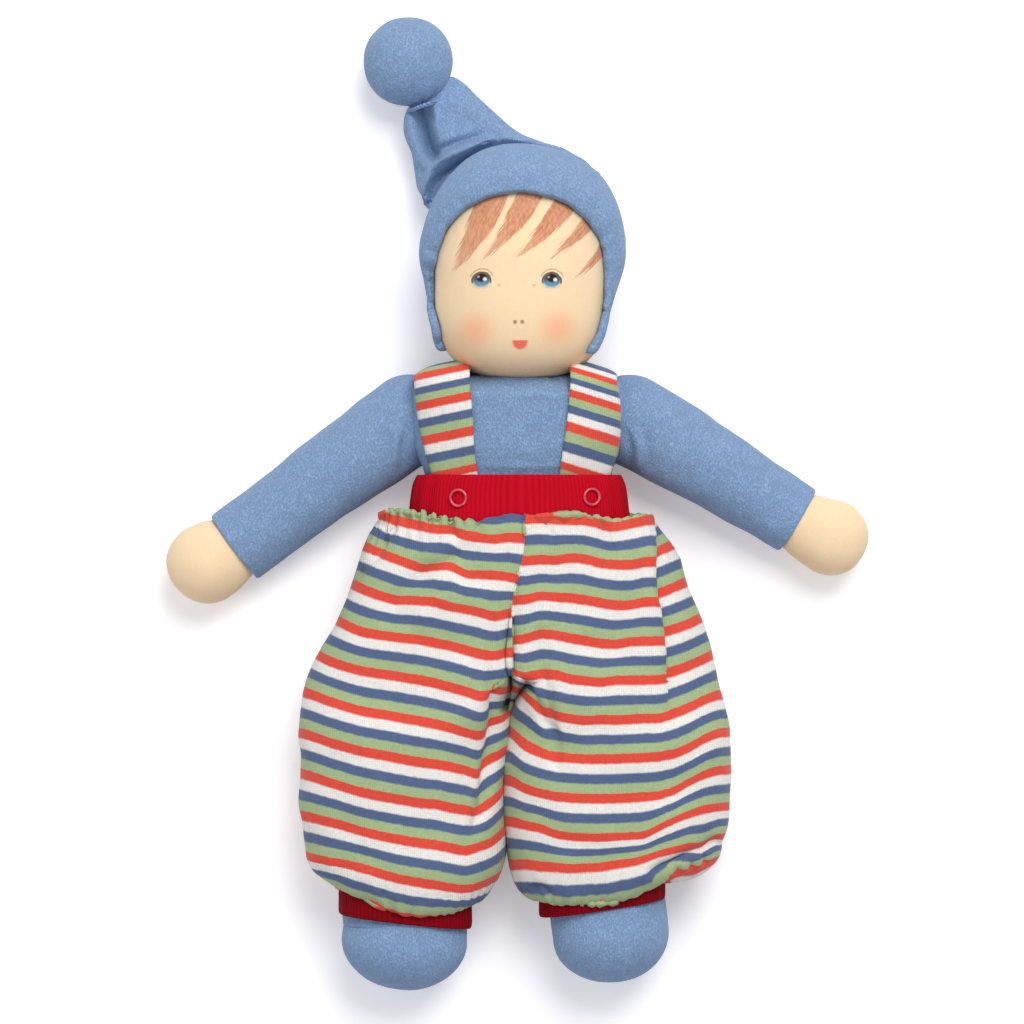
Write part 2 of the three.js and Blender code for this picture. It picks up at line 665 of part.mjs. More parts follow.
// The trousers' upper part hangs from the waistband, its two halves meeting in the centre seam
function addTrouserSeat() {
  const middleX = (LEFT.legX + RIGHT.legX) / 2;
  const seat = softForm(
    [
      { at: [middleX, SEAT_LINE_Y, TROUSER_Z], wide: SEAT_HALF_WIDTH, deep: TROUSER_HALF_DEPTH },
      { at: [0, TROUSER_HIP_Y, TROUSER_Z], wide: TROUSER_HIP_HALF_WIDTH, deep: TROUSER_HALF_DEPTH },
      {
        at: [0, TROUSER_TOP_Y - TROUSER_GATHER, TROUSER_Z],
        wide: TROUSER_TOP_HALF_WIDTH,
        deep: TROUSER_TOP_HALF_DEPTH,
      },
    ],
    { endDome: TROUSER_GATHER, power: FLAT_POWER },
  );
  const roundBand = acrossBand(BAND_BOTTOM_Y - GAP, BAND_TOP_Y);
  const bandRoom = solidForm(bandForm, BAND_OUTSIDE + GAP).intersect(roundBand);
  const cloth = solidForm(seat, 0, OVERRUN).subtract(solidForm(seat, -JERSEY, 2 * OVERRUN));
  const shell = cloth.subtract(bandRoom).intersect(acrossBand(SEAT_LINE_Y, BAND_TOP_Y));
  const reach = SEAT_HALF_WIDTH + OVERRUN;
  const rightSide = box([-reach, -reach, -reach], [CROTCH_X - GAP / 2, reach, reach]);
  const leftSide = box([CROTCH_X + GAP / 2, -reach, -reach], [reach, reach, reach]);
  addPiece("right_trouser_seat", shell.intersect(rightSide), STRIPED);
  addPiece("left_trouser_seat", shell.intersect(leftSide), STRIPED);
}

const unitTowards = (from, to) => to.clone().sub(from).normalize();

function addArm(side) {
  const sleeve = sleeveForm(side);
  const [shoulder, middle, wrist] = sleeve.spine.points;
  const hand = new THREE.Vector3(side.handX, side.handY, side.handRadius);
  addPiece(`${side.name}_sleeve`, hollowForm(sleeve, VELOUR), VELOUR_BLUE);

  const inward = unitTowards(wrist, shoulder);
  const root = wrist.clone().addScaledVector(inward, SLEEVE_INSET);
  root.z = side.handRadius;
  const outward = unitTowards(root, hand);
  const neckEnd = root.clone().addScaledVector(outward, 2 * THREAD_RADIUS + 2 * GAP);
  const mouthRadius = side.wristRadius - VELOUR - 5 * GAP;
  const handForm = softForm(
    [
      { at: root.toArray(), wide: WRIST_NECK_RADIUS, deep: WRIST_NECK_RADIUS },
      { at: neckEnd.toArray(), wide: WRIST_NECK_RADIUS, deep: WRIST_NECK_RADIUS },
      { at: [side.wristX, side.wristY, side.handRadius], wide: mouthRadius, deep: mouthRadius },
      { at: hand.toArray(), wide: side.handRadius, deep: side.handRadius },
    ],
    { endDome: side.handRadius, sides: SMALL_SIDES, steps: HAND_STEPS },
  );
  addPiece(`${side.name}_hand_skin`, hollowForm(handForm, TRICOT), SKIN);
  addPiece(`${side.name}_hand_stuffing`, solidForm(handForm, -TRICOT - GAP), WOOL);

  const tiePlace = root.clone().addScaledVector(outward, THREAD_RADIUS);
  addPiece(`${side.name}_wrist_tie`, threadRing(tiePlace, outward, WRIST_NECK_RADIUS + GAP), THREAD);

  const fillEnd = root.clone().addScaledVector(inward, STUFFING_END_ROOM);
  const filling = softForm(
    [
      { at: shoulder.toArray(), wide: SHOULDER_BALL_RADIUS, deep: SHOULDER_BALL_RADIUS },
      { at: middle.toArray(), wide: middle.z, deep: middle.z },
      { at: [fillEnd.x, fillEnd.y, side.wristRadius], wide: side.wristRadius, deep: side.wristRadius },
    ],
    { startDome: SHOULDER_BALL_RADIUS },
  );
  addPiece(`${side.name}_arm_stuffing`, solidForm(filling, -VELOUR - GAP), WOOL);
}

function addLeg(side) {
  const footY = side.footTipY + FOOT_ROUND;
  const kneeX = THREE.MathUtils.lerp(side.hipX, side.cuffX, KNEE_SHARE);
  const floor = LEG_FLOOR;
  const leg = softForm(
    [
      { at: [side.hipX, HIP_BALL_Y, LEG_Z], wide: HIP_BALL_RADIUS, deep: HIP_BALL_RADIUS, floor },
      { at: [kneeX, side.kneeY, LEG_Z], wide: THIGH_HALF_WIDTH, deep: THIGH_HALF_DEPTH, floor },
      {
        at: [side.cuffX, side.cuffTopY, LEG_Z],
        wide: side.cuffHalfWidth - RIB - CUFF_ROOM,
        deep: THIGH_HALF_DEPTH,
        floor,
      },
      {
        at: [side.cuffX, side.cuffEndY, LEG_Z],
        wide: side.footHalfWidth,
        deep: THIGH_HALF_DEPTH,
        floor,
      },
      { at: [side.footX, footY, FOOT_HALF_DEPTH], wide: side.footHalfWidth, deep: FOOT_HALF_DEPTH },
    ],
    { startDome: HIP_BALL_RADIUS, endDome: FOOT_ROUND, steps: LEG_STEPS },
  );
  const aboveSeam = acrossBand(HIP_BALL_Y + HIP_SEAM_HEIGHT, HIP_BALL_Y + HIP_BALL_RADIUS + OVERRUN);
  addPiece(`${side.name}_leg_cover`, hollowForm(leg, VELOUR).subtract(aboveSeam), VELOUR_BLUE);
  addPiece(`${side.name}_leg_stuffing`, solidForm(leg, -VELOUR - GAP), WOOL);

  const cuffLayer = solidForm(leg, CUFF_ROOM + RIB).subtract(solidForm(leg, CUFF_ROOM));
  const cuff = cuffLayer.intersect(acrossBand(side.cuffEndY, side.cuffTopY + CUFF_TUCK));
  addPiece(`${side.name}_ankle_cuff`, cuff, RIB_RED);

  const topHalfWidth = SEAT_HALF_WIDTH / 2 - LEG_RIFT;
  const topX = CROTCH_X + Math.sign(side.legX) * (topHalfWidth + LEG_RIFT);
  const trouser = softForm(
    [
      { at: [topX, SEAT_LINE_Y - GAP, TROUSER_Z], wide: topHalfWidth, deep: TROUSER_HALF_DEPTH },
      { at: [side.legX, side.kneeY, TROUSER_Z], wide: side.legHalfWidth, deep: TROUSER_HALF_DEPTH },
      {
        at: [side.legX, side.trouserEndY, TROUSER_Z],
        wide: side.legHalfWidth,
        deep: TROUSER_HALF_DEPTH,
      },
    ],
    { endDome: TROUSER_LEG_ROUND, power: FLAT_POWER },
  );
  const roundCuff = acrossBand(side.footTipY, side.trouserEndY - GAP);
  const cuffRoom = solidForm(leg, CUFF_ROOM + RIB + GAP).intersect(roundCuff);
  const trouserCloth = solidForm(trouser, 0, OVERRUN).subtract(solidForm(trouser, -JERSEY, 2 * OVERRUN));
  const below = acrossBand(side.footTipY, SEAT_LINE_Y - GAP);
  addPiece(`${side.name}_trouser_leg`, trouserCloth.subtract(cuffRoom).intersect(below), STRIPED);
}

addTorso();
addHead();
addHood();
addHatTip();
addWaistband();
addTrouserSeat();
for (const side of [RIGHT, LEFT]) {
  addStrap(side, sockets());
  addPressStud(side);
  addArm(side);
  addLeg(side);
}

// The origin is the middle of the doll's footprint on the surface that it lies on
const bounds = new THREE.Box3().setFromObject(doll);
const middle = bounds.getCenter(new THREE.Vector3());
doll.position.set(-middle.x, -middle.y, -bounds.min.z);

export default doll;
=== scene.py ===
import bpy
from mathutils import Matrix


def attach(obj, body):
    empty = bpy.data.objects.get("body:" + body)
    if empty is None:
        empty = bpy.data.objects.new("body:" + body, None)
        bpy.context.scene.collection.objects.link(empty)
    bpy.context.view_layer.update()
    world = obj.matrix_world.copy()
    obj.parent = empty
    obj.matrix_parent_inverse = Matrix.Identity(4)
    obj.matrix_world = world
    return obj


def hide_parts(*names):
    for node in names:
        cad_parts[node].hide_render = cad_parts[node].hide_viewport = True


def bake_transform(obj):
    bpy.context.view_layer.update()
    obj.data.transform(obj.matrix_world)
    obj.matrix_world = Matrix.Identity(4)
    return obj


bl_info = {
    "name": "Waldorf Doll",
    "version": (1, 0, 0),
    "blender": (4, 5, 0),
    "location": "View3D > Sidebar > Doll",
    "description": "Dresses the frame of a lying waldorf doll in velour, tricot, striped jersey and rib knit",
    "category": "Object",
}

import math

import bmesh
import bpy
from bpy.props import FloatProperty, FloatVectorProperty, PointerProperty
from bpy.types import Operator, Panel, PropertyGroup
from mathutils import Matrix, Vector, noise

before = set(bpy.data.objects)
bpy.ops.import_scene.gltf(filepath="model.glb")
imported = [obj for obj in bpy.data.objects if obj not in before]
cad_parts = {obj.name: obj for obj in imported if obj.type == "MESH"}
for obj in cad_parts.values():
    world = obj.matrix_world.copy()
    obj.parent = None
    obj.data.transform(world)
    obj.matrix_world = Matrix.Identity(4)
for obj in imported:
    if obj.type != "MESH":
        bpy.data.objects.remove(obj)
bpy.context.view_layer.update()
# Lengths in the tables and functions below are in millimetres, on the frame's own axes
MM = 0.001
TURN = 2 * math.pi
# The lowest height that stuffed cloth may reach over the surface it lies on
LOWEST = 0.15


# Numbers and curves


def mix(a, b, share):
    return a + (b - a) * share


def ease(low, high, value):
    share = min(max((value - low) / (high - low), 0.0), 1.0)
    return share * share * (3 - 2 * share)


def curve_row(table, span):
    """A smooth row between the rows of a table, at a place counted in rows."""
    index = min(max(int(span), 0), len(table) - 2)
    t = span - index
    last = len(table) - 1
    rows = [table[min(max(index + step, 0), last)] for step in (-1, 0, 1, 2)]
    return [
        0.5 * (2 * b + (c - a) * t + (2 * a - 5 * b + 4 * c - d) * t * t + (3 * b - a - 3 * c + d) * t**3)
        for a, b, c, d in zip(*rows)
    ]


def level_at(table, place):
    """The smooth value of a table of (place, value) pairs whose places all rise or all fall."""
    rising = table[-1][0] > table[0][0]
    index = 0
    while index < len(table) - 2 and (table[index + 1][0] < place) == rising:
        index += 1
    low, high = table[index][0], table[index + 1][0]
    share = min(max((place - low) / (high - low), 0.0), 1.0)
    return curve_row([row[1:] for row in table], index + share)[0]


class SoftTube:
    """A stuffed form that follows stations of (x, y, z, half width, half depth, lowest level).

    It may reach past its first and last station by rounded ends of the lengths start and end. A power of 2 makes its
    rings oval, and a greater one squarer.
    """

    def __init__(self, stations, start=0.0, end=0.0, power=2.0):
        self.stations = stations
        self.start = start
        self.end = end
        self.power = power
        self.marks = [0.0]
        for before, after in zip(stations, stations[1:]):
            self.marks.append(self.marks[-1] + math.dist(before[:3], after[:3]))
        self.length = self.marks[-1]

    def row(self, distance):
        distance = min(max(distance, 0.0), self.length)
        index = 0
        while index < len(self.marks) - 2 and self.marks[index + 1] < distance:
            index += 1
        share = (distance - self.marks[index]) / (self.marks[index + 1] - self.marks[index])
        return curve_row(self.stations, index + share)

    def ring(self, along):
        """Centre, side, rise and lowest level of the ring at a share of the whole length, closed ends and all."""
        place = along * (self.start + self.length + self.end) - self.start
        beyond, shrink = 0.0, 1.0
        if place < 0:
            angle = -place / self.start * math.pi / 2
            beyond, shrink = -self.start * math.sin(angle), math.cos(angle)
        if place > self.length:
            angle = (place - self.length) / self.end * math.pi / 2
            beyond, shrink = self.end * math.sin(angle), math.cos(angle)
        row = self.row(place)
        reach = 0.5
        before = Vector(self.row(max(min(place, self.length) - reach, 0.0))[:3])
        after = Vector(self.row(min(max(place, 0.0) + reach, self.length))[:3])
        tangent = (after - before).normalized()
        side = tangent.cross(Vector((0, 0, 1))).normalized()
        rise = side.cross(tangent)
        return Vector(row[:3]) + tangent * beyond, side * row[3] * shrink, rise * row[4] * shrink, row[5]

    def point(self, around, along):
        centre, side, rise, floor = self.ring(along)
        angle = TURN * around - math.pi / 2
        place = centre + side * rounded(math.cos(angle), self.power) + rise * rounded(math.sin(angle), self.power)
        place.z = max(place.z, floor)
        return place


def rounded(value, power):
    """A circle's sine or cosine, made squarer by a power over 2."""
    return math.copysign(abs(value) ** (2 / power), value)


# Cloth and stuffed pieces


def lay_grid(columns, rows, place):
    """A grid laid over place(u, v), welded where it meets itself, in millimetres."""
    bm = bmesh.new()
    bm.loops.layers.uv.new("cloth")
    bmesh.ops.create_grid(bm, x_segments=columns, y_segments=rows, size=0.5, calc_uvs=True)
    for vert in bm.verts:
        vert.co = place(vert.co.x + 0.5, vert.co.y + 0.5)
    bmesh.ops.remove_doubles(bm, verts=bm.verts, dist=0.02)
    bmesh.ops.recalc_face_normals(bm, faces=bm.faces)
    bm.normal_update()
    return bm


def map_cloth(bm, rule):
    """Gives each corner its place in the cloth's map: rule(u, v, the corner's place, its face's middle)."""
    layer = bm.loops.layers.uv.active
    for face in bm.faces:
        middle = face.calc_center_median()
        for loop in face.loops:
            u, v = loop[layer].uv
            loop[layer].uv = rule(u, v, loop.vert.co, middle)


def snap_to_side_seam(bm):
    """Brings the cloth's nearest corners onto the side seam, so that its two maps meet in a clean line."""
    for vert in bm.verts:
        seam = side_seam(vert.co.y)
        if vert.co.z > 30 and vert.co.y > -91.8 and abs(vert.co.x - seam) < 0.65:
            vert.co.x = seam


def push_out(bm, depth):
    """Moves every vertex along its normal by depth(place, normal)."""
    bm.normal_update()
    moves = [(vert, vert.normal * depth(vert.co, vert.normal)) for vert in bm.verts]
    for vert, move in moves:
        vert.co += move
    bm.normal_update()


def lumps(bm, height, spacing, seed, lowest=LOWEST):
    """Uneven stuffing under the cloth."""
    shift = Vector((seed * 17.3, seed * 5.1, seed * 9.7))
    push_out(bm, lambda place, normal: height * noise.noise(place / spacing + shift))
    for vert in bm.verts:
        vert.co.z = max(vert.co.z, lowest)


def line_distance(line, x, y):
    """Distance in plan from a line, and the share of the line's length at the nearest place."""
    best, share = 1e9, 0.0
    for index, (start, end) in enumerate(zip(line, line[1:])):
        across, along = end[0] - start[0], end[1] - start[1]
        reach = across * across + along * along
        t = min(max(((x - start[0]) * across + (y - start[1]) * along) / reach, 0.0), 1.0)
        gap = math.hypot(x - start[0] - across * t, y - start[1] - along * t)
        if gap < best:
            best, share = gap, (index + t) / (len(line) - 1)
    return best, share


def fold(bm, line, depth, width, fade=0.5, sink=False):
    """Presses a fold into the front of the cloth along a line; a negative depth raises it."""
    reach = 3 * width
    low_x, high_x = min(p[0] for p in line) - reach, max(p[0] for p in line) + reach
    low_y, high_y = min(p[1] for p in line) - reach, max(p[1] for p in line) + reach
    bm.normal_update()
    moves = []
    for vert in bm.verts:
        x, y, _ = vert.co
        if vert.normal.z < 0.05 or not (low_x < x < high_x and low_y < y < high_y):
            continue
        gap, share = line_distance(line, x, y)
        if gap < reach:
            taper = math.sin(math.pi * min(share, 1.0)) ** fade
            facing = min(vert.normal.z * 2.5, 1.0)
            push = depth * math.exp(-((gap / width) ** 2)) * taper * facing
            moves.append((vert, Vector((0, 0, -push)) if sink else vert.normal * -push))
    for vert, move in moves:
        vert.co += move
    bm.normal_update()


def make_piece(name, bm, material, thickness=0.0, levels=0):
    bmesh.ops.scale(bm, verts=bm.verts, vec=(MM, MM, MM))
    mesh = bpy.data.meshes.new(name)
    bm.to_mesh(mesh)
    bm.free()
    mesh.shade_smooth()
    mesh.materials.append(material)
    piece = bpy.data.objects.new(name, mesh)
    bpy.context.scene.collection.objects.link(piece)
    if thickness:
        wall = piece.modifiers.new("cloth thickness", "SOLIDIFY")
        wall.thickness = thickness * MM
        wall.offset = -1
        wall.use_even_offset = False
    if levels:
        finer = piece.modifiers.new("soft surface", "SUBSURF")
        finer.levels = levels
        finer.render_levels = levels
    return piece


# Shader building


def feed(tree, value, socket):
    """Links a signal or a socket to a node's input, or sets the input to a number or a colour."""
    if isinstance(value, Signal):
        value = value.socket
    if isinstance(value, bpy.types.NodeSocket):
        tree.links.new(value, socket)
    else:
        socket.default_value = (*value, 1.0) if isinstance(value, tuple) else value


def feed_all(tree, node, **values):
    """Feeds a node's inputs by name, with _ for a space."""
    for label, value in values.items():
        feed(tree, value, node.inputs[label.replace("_", " ")])


class Signal:
    """A number that changes over a surface, inside a node tree."""

    def __init__(self, tree, socket):
        self.tree = tree
        self.socket = socket

    def through(self, kind, *values, **settings):
        """This signal and other values, passed through a new node."""
        node = self.tree.nodes.new(kind)
        for key, value in settings.items():
            setattr(node, key, value)
        for value, socket in zip((self, *values), node.inputs):
            feed(self.tree, value, socket)
        return Signal(self.tree, node.outputs[0])

    def math(self, operation, *others):
        return self.through("ShaderNodeMath", *others, operation=operation)

    def __add__(self, other):
        return self.math("ADD", other)

    def __sub__(self, other):
        return self.math("SUBTRACT", other)

    def __mul__(self, other):
        return self.math("MULTIPLY", other)

    def __truediv__(self, other):
        return self.math("DIVIDE", other)

    def ramp(self, from_low, from_high, to_low=0.0, to_high=1.0):
        values = (from_low, from_high, to_low, to_high)
        return self.through("ShaderNodeMapRange", *values, interpolation_type="SMOOTHSTEP")

    def wave(self):
        """Rises and falls between 0 and 1 once for each whole number."""
        return (self * TURN).math("SINE") * 0.5 + 0.5


def linear(hex_colour):
    """A colour written as #rrggbb, as the shader's own numbers."""
    parts = [int(hex_colour[i : i + 2], 16) / 255 for i in (1, 3, 5)]
    return tuple(p / 12.92 if p <= 0.04045 else ((p + 0.055) / 1.055) ** 2.4 for p in parts)


def tinted(colour, factor, added=0.0):
    return tuple(min(channel * factor + added, 1.0) for channel in colour)


def signals(tree, outputs):
    return [Signal(tree, output) for output in outputs]


def new_group(name, inputs, outputs):
    """A group of nodes, its inputs as signals and its end; the value None stands for a place."""
    tree = bpy.data.node_groups.new(name, "ShaderNodeTree")
    for label, value in inputs.items():
        kind = "NodeSocketVector" if value is None else "NodeSocketFloat"
        socket = tree.interface.new_socket(name=label, in_out="INPUT", socket_type=kind)
        if value is not None:
            socket.default_value = value
    for label in outputs:
        tree.interface.new_socket(name=label, in_out="OUTPUT", socket_type="NodeSocketFloat")
    entry = tree.nodes.new("NodeGroupInput")
    end = tree.nodes.new("NodeGroupOutput")
    return tree, signals(tree, [entry.outputs[label] for label in inputs]), end


def split(tree, vector):
    node = tree.nodes.new("ShaderNodeSeparateXYZ")
    feed(tree, vector, node.inputs[0])
    return signals(tree, node.outputs)


def texture(tree, kind, vector, scale, detail=2.0, **settings):
    node = tree.nodes.new(kind)
    for key, value in settings.items():
        setattr(node, key, value)
    feed_all(tree, node, Vector=vector, Scale=scale)
    if "Detail" in node.inputs:
        feed_all(tree, node, Detail=detail)
    return node


def noise_of(tree, vector, scale, detail):
    return Signal(tree, texture(tree, "ShaderNodeTexNoise", vector, scale, detail).outputs[0])


def stretched(tree, vector, scale):
    node = tree.nodes.new("ShaderNodeMapping")
    feed_all(tree, node, Vector=vector)
    node.inputs["Scale"].default_value = scale
    return node.outputs[0]


def mixed(tree, factor, first, second, blend="MIX"):
    node = tree.nodes.new("ShaderNodeMix")
    node.data_type = "RGBA"
    node.blend_type = blend
    # The node keeps the inputs of its other data types, so the colours' own are the seventh and eighth
    for index, value in ((0, factor), (6, first), (7, second)):
        feed(tree, value, node.inputs[index])
    return node.outputs[2]


def pile_group():
    """Velour: short uneven loops in rows, pale where they stand up and dark between them."""
    tree, (place, turn), end = new_group("velour pile", {"Place": None, "Turn": 0.0}, ("Tone", "Height"))
    turned = tree.nodes.new("ShaderNodeVectorRotate")
    turned.rotation_type = "Z_AXIS"
    feed_all(tree, turned, Vector=place, Angle=turn)
    place = turned.outputs[0]
    per_metre = 1700.0
    stroke = noise_of(tree, stretched(tree, place, (1.0, 0.55, 1.0)), per_metre, 1.5).ramp(0.25, 0.75)
    loops = texture(tree, "ShaderNodeTexVoronoi", stretched(tree, place, (1.0, 0.7, 1.0)), per_metre)
    loop = Signal(tree, loops.outputs["Distance"]).ramp(0.1, 0.8, 1.0, 0.0)
    patch = noise_of(tree, place, 230.0, 5.0).ramp(0.25, 0.75)
    feed_all(tree, end, Tone=stroke * 0.55 + loop * 0.3 + patch * 0.15, Height=stroke * 0.6 + loop * 0.4)
    return tree


def knit_group():
    """Fine jersey knit: narrow wales crossed by courses, with a little unevenness."""
    inputs = {"Place": None, "Wales per metre": 1100.0}
    tree, (place, count), end = new_group("fine knit", inputs, ("Tone", "Height"))
    x, y, _ = split(tree, place)
    drift = noise_of(tree, place, 160.0, 2.0) * 1.6
    wale = (x * count + drift).wave()
    course = (y * count * 0.8 + (x * count).math("PINGPONG", 0.5)).wave()
    speck = noise_of(tree, place, 1500.0, 1.0)
    feed_all(
        tree, end, Tone=wale * 0.22 + course * 0.18 + speck * 0.6, Height=wale * 0.55 + course * 0.25 + speck * 0.2
    )
    return tree


def spot_group():
    """A soft oval painted on cloth: 1 inside, 0 outside."""
    inputs = {"X": 0.0, "Y": 0.0, "Centre X": 0.0, "Centre Y": 0.0, "Radius X": 1.0, "Radius Y": 1.0, "Soft": 0.2}
    tree, (x, y, centre_x, centre_y, radius_x, radius_y, soft), end = new_group(
        "painted spot", inputs, ("Mask", "Distance")
    )
    across, upward = (x - centre_x) / radius_x, (y - centre_y) / radius_y
    distance = (across * across + upward * upward).math("SQRT")
    feed_all(tree, end, Mask=distance.ramp(soft * -1.0 + 1.0, soft + 1.0, 1.0, 0.0), Distance=distance)
    return tree


def strand_group():
    """A printed strand of hair: full at its root, curved, and tapering to a point."""
    inputs = {
        "X": 0.0, "Y": 0.0, "Root X": 0.0, "Root Y": 0.0, "Tip X": 1.0, "Tip Y": 0.0, "Half width": 1.0, "Bend": 0.0
    }
    tree, (x, y, root_x, root_y, tip_x, tip_y, half_width, bend), end = new_group("hair strand", inputs, ("Mask",))
    run_x, run_y = tip_x - root_x, tip_y - root_y
    length = (run_x * run_x + run_y * run_y).math("SQRT")
    from_x, from_y = x - root_x, y - root_y
    along = (from_x * run_x + from_y * run_y) / (length * length)
    bow = along * (along * -1.0 + 1.0) * bend * 4.0
    side = (from_y * run_x - from_x * run_y) / length - bow
    share = along.math("MAXIMUM", 0.0).math("MINIMUM", 1.0)
    lines = (side * 2.2).through("ShaderNodeCombineXYZ", along * length * 0.13, root_x)
    hairs = noise_of(tree, lines, 1.0, 2.0)
    width = half_width * (share.math("POWER", 1.7) * -1.0 + 1.0)
    edge = width - side.math("ABSOLUTE") + (hairs - 0.56) * (share * 6.5 + 1.0)
    mask = edge.ramp(-0.35, 0.75) * along.ramp(0.9, 1.02, 1.0, 0.0) * hairs.ramp(0.2, 0.7, 0.72, 1.0)
    feed_all(tree, end, Mask=mask * share.ramp(0.35, 1.0, 1.0, 0.7))
    return tree


# The shared effects that have been made so far
GROUPS = {}


def add_group(tree, kind, **values):
    """Places a shared effect in a material, feeds its inputs by name and gives its outputs."""
    makers = {"pile": pile_group, "knit": knit_group, "spot": spot_group, "strand": strand_group}
    if kind not in GROUPS:
        GROUPS[kind] = makers[kind]()
    node = tree.nodes.new("ShaderNodeGroup")
    node.node_tree = GROUPS[kind]
    feed_all(tree, node, **values)
    return signals(tree, node.outputs)


class Look:
    """A material in the making, with its node tree, its shader and the object's own coordinates."""

    def __init__(self, name, roughness=0.9, sheen=0.0, sheen_tint=(1.0, 1.0, 1.0)):
        self.material = bpy.data.materials.new(name)
        self.material.use_nodes = True
        self.tree = self.material.node_tree
        self.shader = self.tree.nodes["Principled BSDF"]
        self.set(Roughness=roughness, Specular_IOR_Level=0.15)
        if sheen:
            self.set(Sheen_Weight=sheen, Sheen_Roughness=0.5, Sheen_Tint=sheen_tint)
        coordinates = self.tree.nodes.new("ShaderNodeTexCoord")
        self.place, self.map = coordinates.outputs["Object"], coordinates.outputs["UV"]

    def set(self, **values):
        feed_all(self.tree, self.shader, **values)

    def noise(self, scale, detail):
        return noise_of(self.tree, self.place, scale, detail)

    def knit(self):
        return add_group(self.tree, "knit", Place=self.place, Wales_per_metre=1350.0)

    def paint(self, tone, dark, pale):
        self.set(Base_Color=mixed(self.tree, tone, dark, pale))

    def bump(self, height, strength, distance):
        """Raises the surface by a signal; the distance is in millimetres."""
        bump = self.tree.nodes.new("ShaderNodeBump")
        feed_all(self.tree, bump, Strength=strength, Distance=distance * MM, Height=height)
        self.set(Normal=bump.outputs["Normal"])

    def warm_through(self):
        """Light that passes a little way into thin skin tricot and comes out warm."""
        self.set(Subsurface_Weight=0.3, Subsurface_Scale=0.005)
        self.shader.inputs["Subsurface Radius"].default_value = (1.0, 0.4, 0.25)


def velour_material(name, colour, turn=0.0):
    look = Look(name, 0.95, 0.22, (0.7, 0.8, 0.92))
    tone, height = add_group(look.tree, "pile", Place=look.place, Turn=turn)
    look.paint(tone.ramp(0.15, 0.85), tinted(colour, 0.77), tinted(colour, 1.22))
    look.bump(height, 0.7, 0.5)
    return look.material


def tricot_material(name, colour):
    look = Look(name, 0.85, 0.08)
    look.warm_through()
    tone, height = look.knit()
    look.paint(tone, tinted(colour, 0.86), tinted(colour, 1.056))
    look.bump(height, 0.35, 0.25)
    return look.material


def stripe_colour(tree, share, colours):
    """Four stripes over one repeat, counted down the cloth, with soft knitted edges."""
    turn = share.math("FRACT")
    soft = 0.032
    colour = colours[0]
    for index in (1, 2, 3, 4):
        edge = index / 4
        colour = mixed(tree, turn.ramp(edge - soft, edge + soft), colour, colours[index % 4])
    return colour


def striped_material(name, colours):
    """Striped jersey whose repeat is the cloth map's second number, in whole repeats."""
    look = Look(name, 0.9, 0.15)
    _, down, _ = split(look.tree, look.map)
    colour = stripe_colour(look.tree, down + (look.noise(600.0, 3.0) - 0.5) * 0.045, colours)
    tone, height = look.knit()
    tone = tone.ramp(0.22, 0.78, 0.76, 1.12)
    shade = tone.through("ShaderNodeCombineColor", tone, tone).socket
    look.set(Base_Color=mixed(look.tree, 1.0, colour, shade, "MULTIPLY"))
    look.bump(height, 0.4, 0.22)
    return look.material


def rib_material(name, colour, ribs):
    """Rib knit: ribs counted across the cloth map's first number."""
    look = Look(name, 0.85)
    look.set(Specular_IOR_Level=0.08)
    across, _, _ = split(look.tree, look.map)
    rib = (across * ribs + look.noise(60.0, 2.0) * 0.8).wave()
    look.paint(rib * 0.75 + look.noise(1300.0, 1.0) * 0.35, tinted(colour, 0.78), tinted(colour, 1.1))
    look.bump(rib, 0.6, 0.3)
    return look.material


def wool_material(name, colour):
    look = Look(name, 1.0, 0.3)
    tangle = look.noise(350.0, 6.0)
    look.paint(tangle.ramp(0.3, 0.7), tinted(colour, 0.75), tinted(colour, 1.1))
    look.bump(tangle, 0.8, 1.0)
    return look.material


def thread_material(name, colour):
    look = Look(name, 0.7)
    twist = texture(look.tree, "ShaderNodeTexWave", look.place, 320.0, 2.0, bands_direction="DIAGONAL")
    strand = Signal(look.tree, twist.outputs[1])
    look.paint(strand, tinted(colour, 0.6), colour)
    look.bump(strand, 0.6, 0.3)
    return look.material


def stud_material(name, grain, patch_range, smoothest, dark, pale, **settings):
    """A press stud's metal, bare or under lacquer, in uneven patches; on the lacquer the pale patches are painted
    highlights.
    """
    look = Look(name)
    # Uneven patches of tone; on the lacquered rings the pale ones are painted highlights
    tone_and_highlight_patches = look.noise(grain, 3.0)
    look.paint(tone_and_highlight_patches.ramp(*patch_range), dark, pale)
    look.set(Roughness=tone_and_highlight_patches.ramp(0.3, 0.7, smoothest, 0.4), **settings)
    look.bump(tone_and_highlight_patches, 0.1, 0.05)
    return look.material


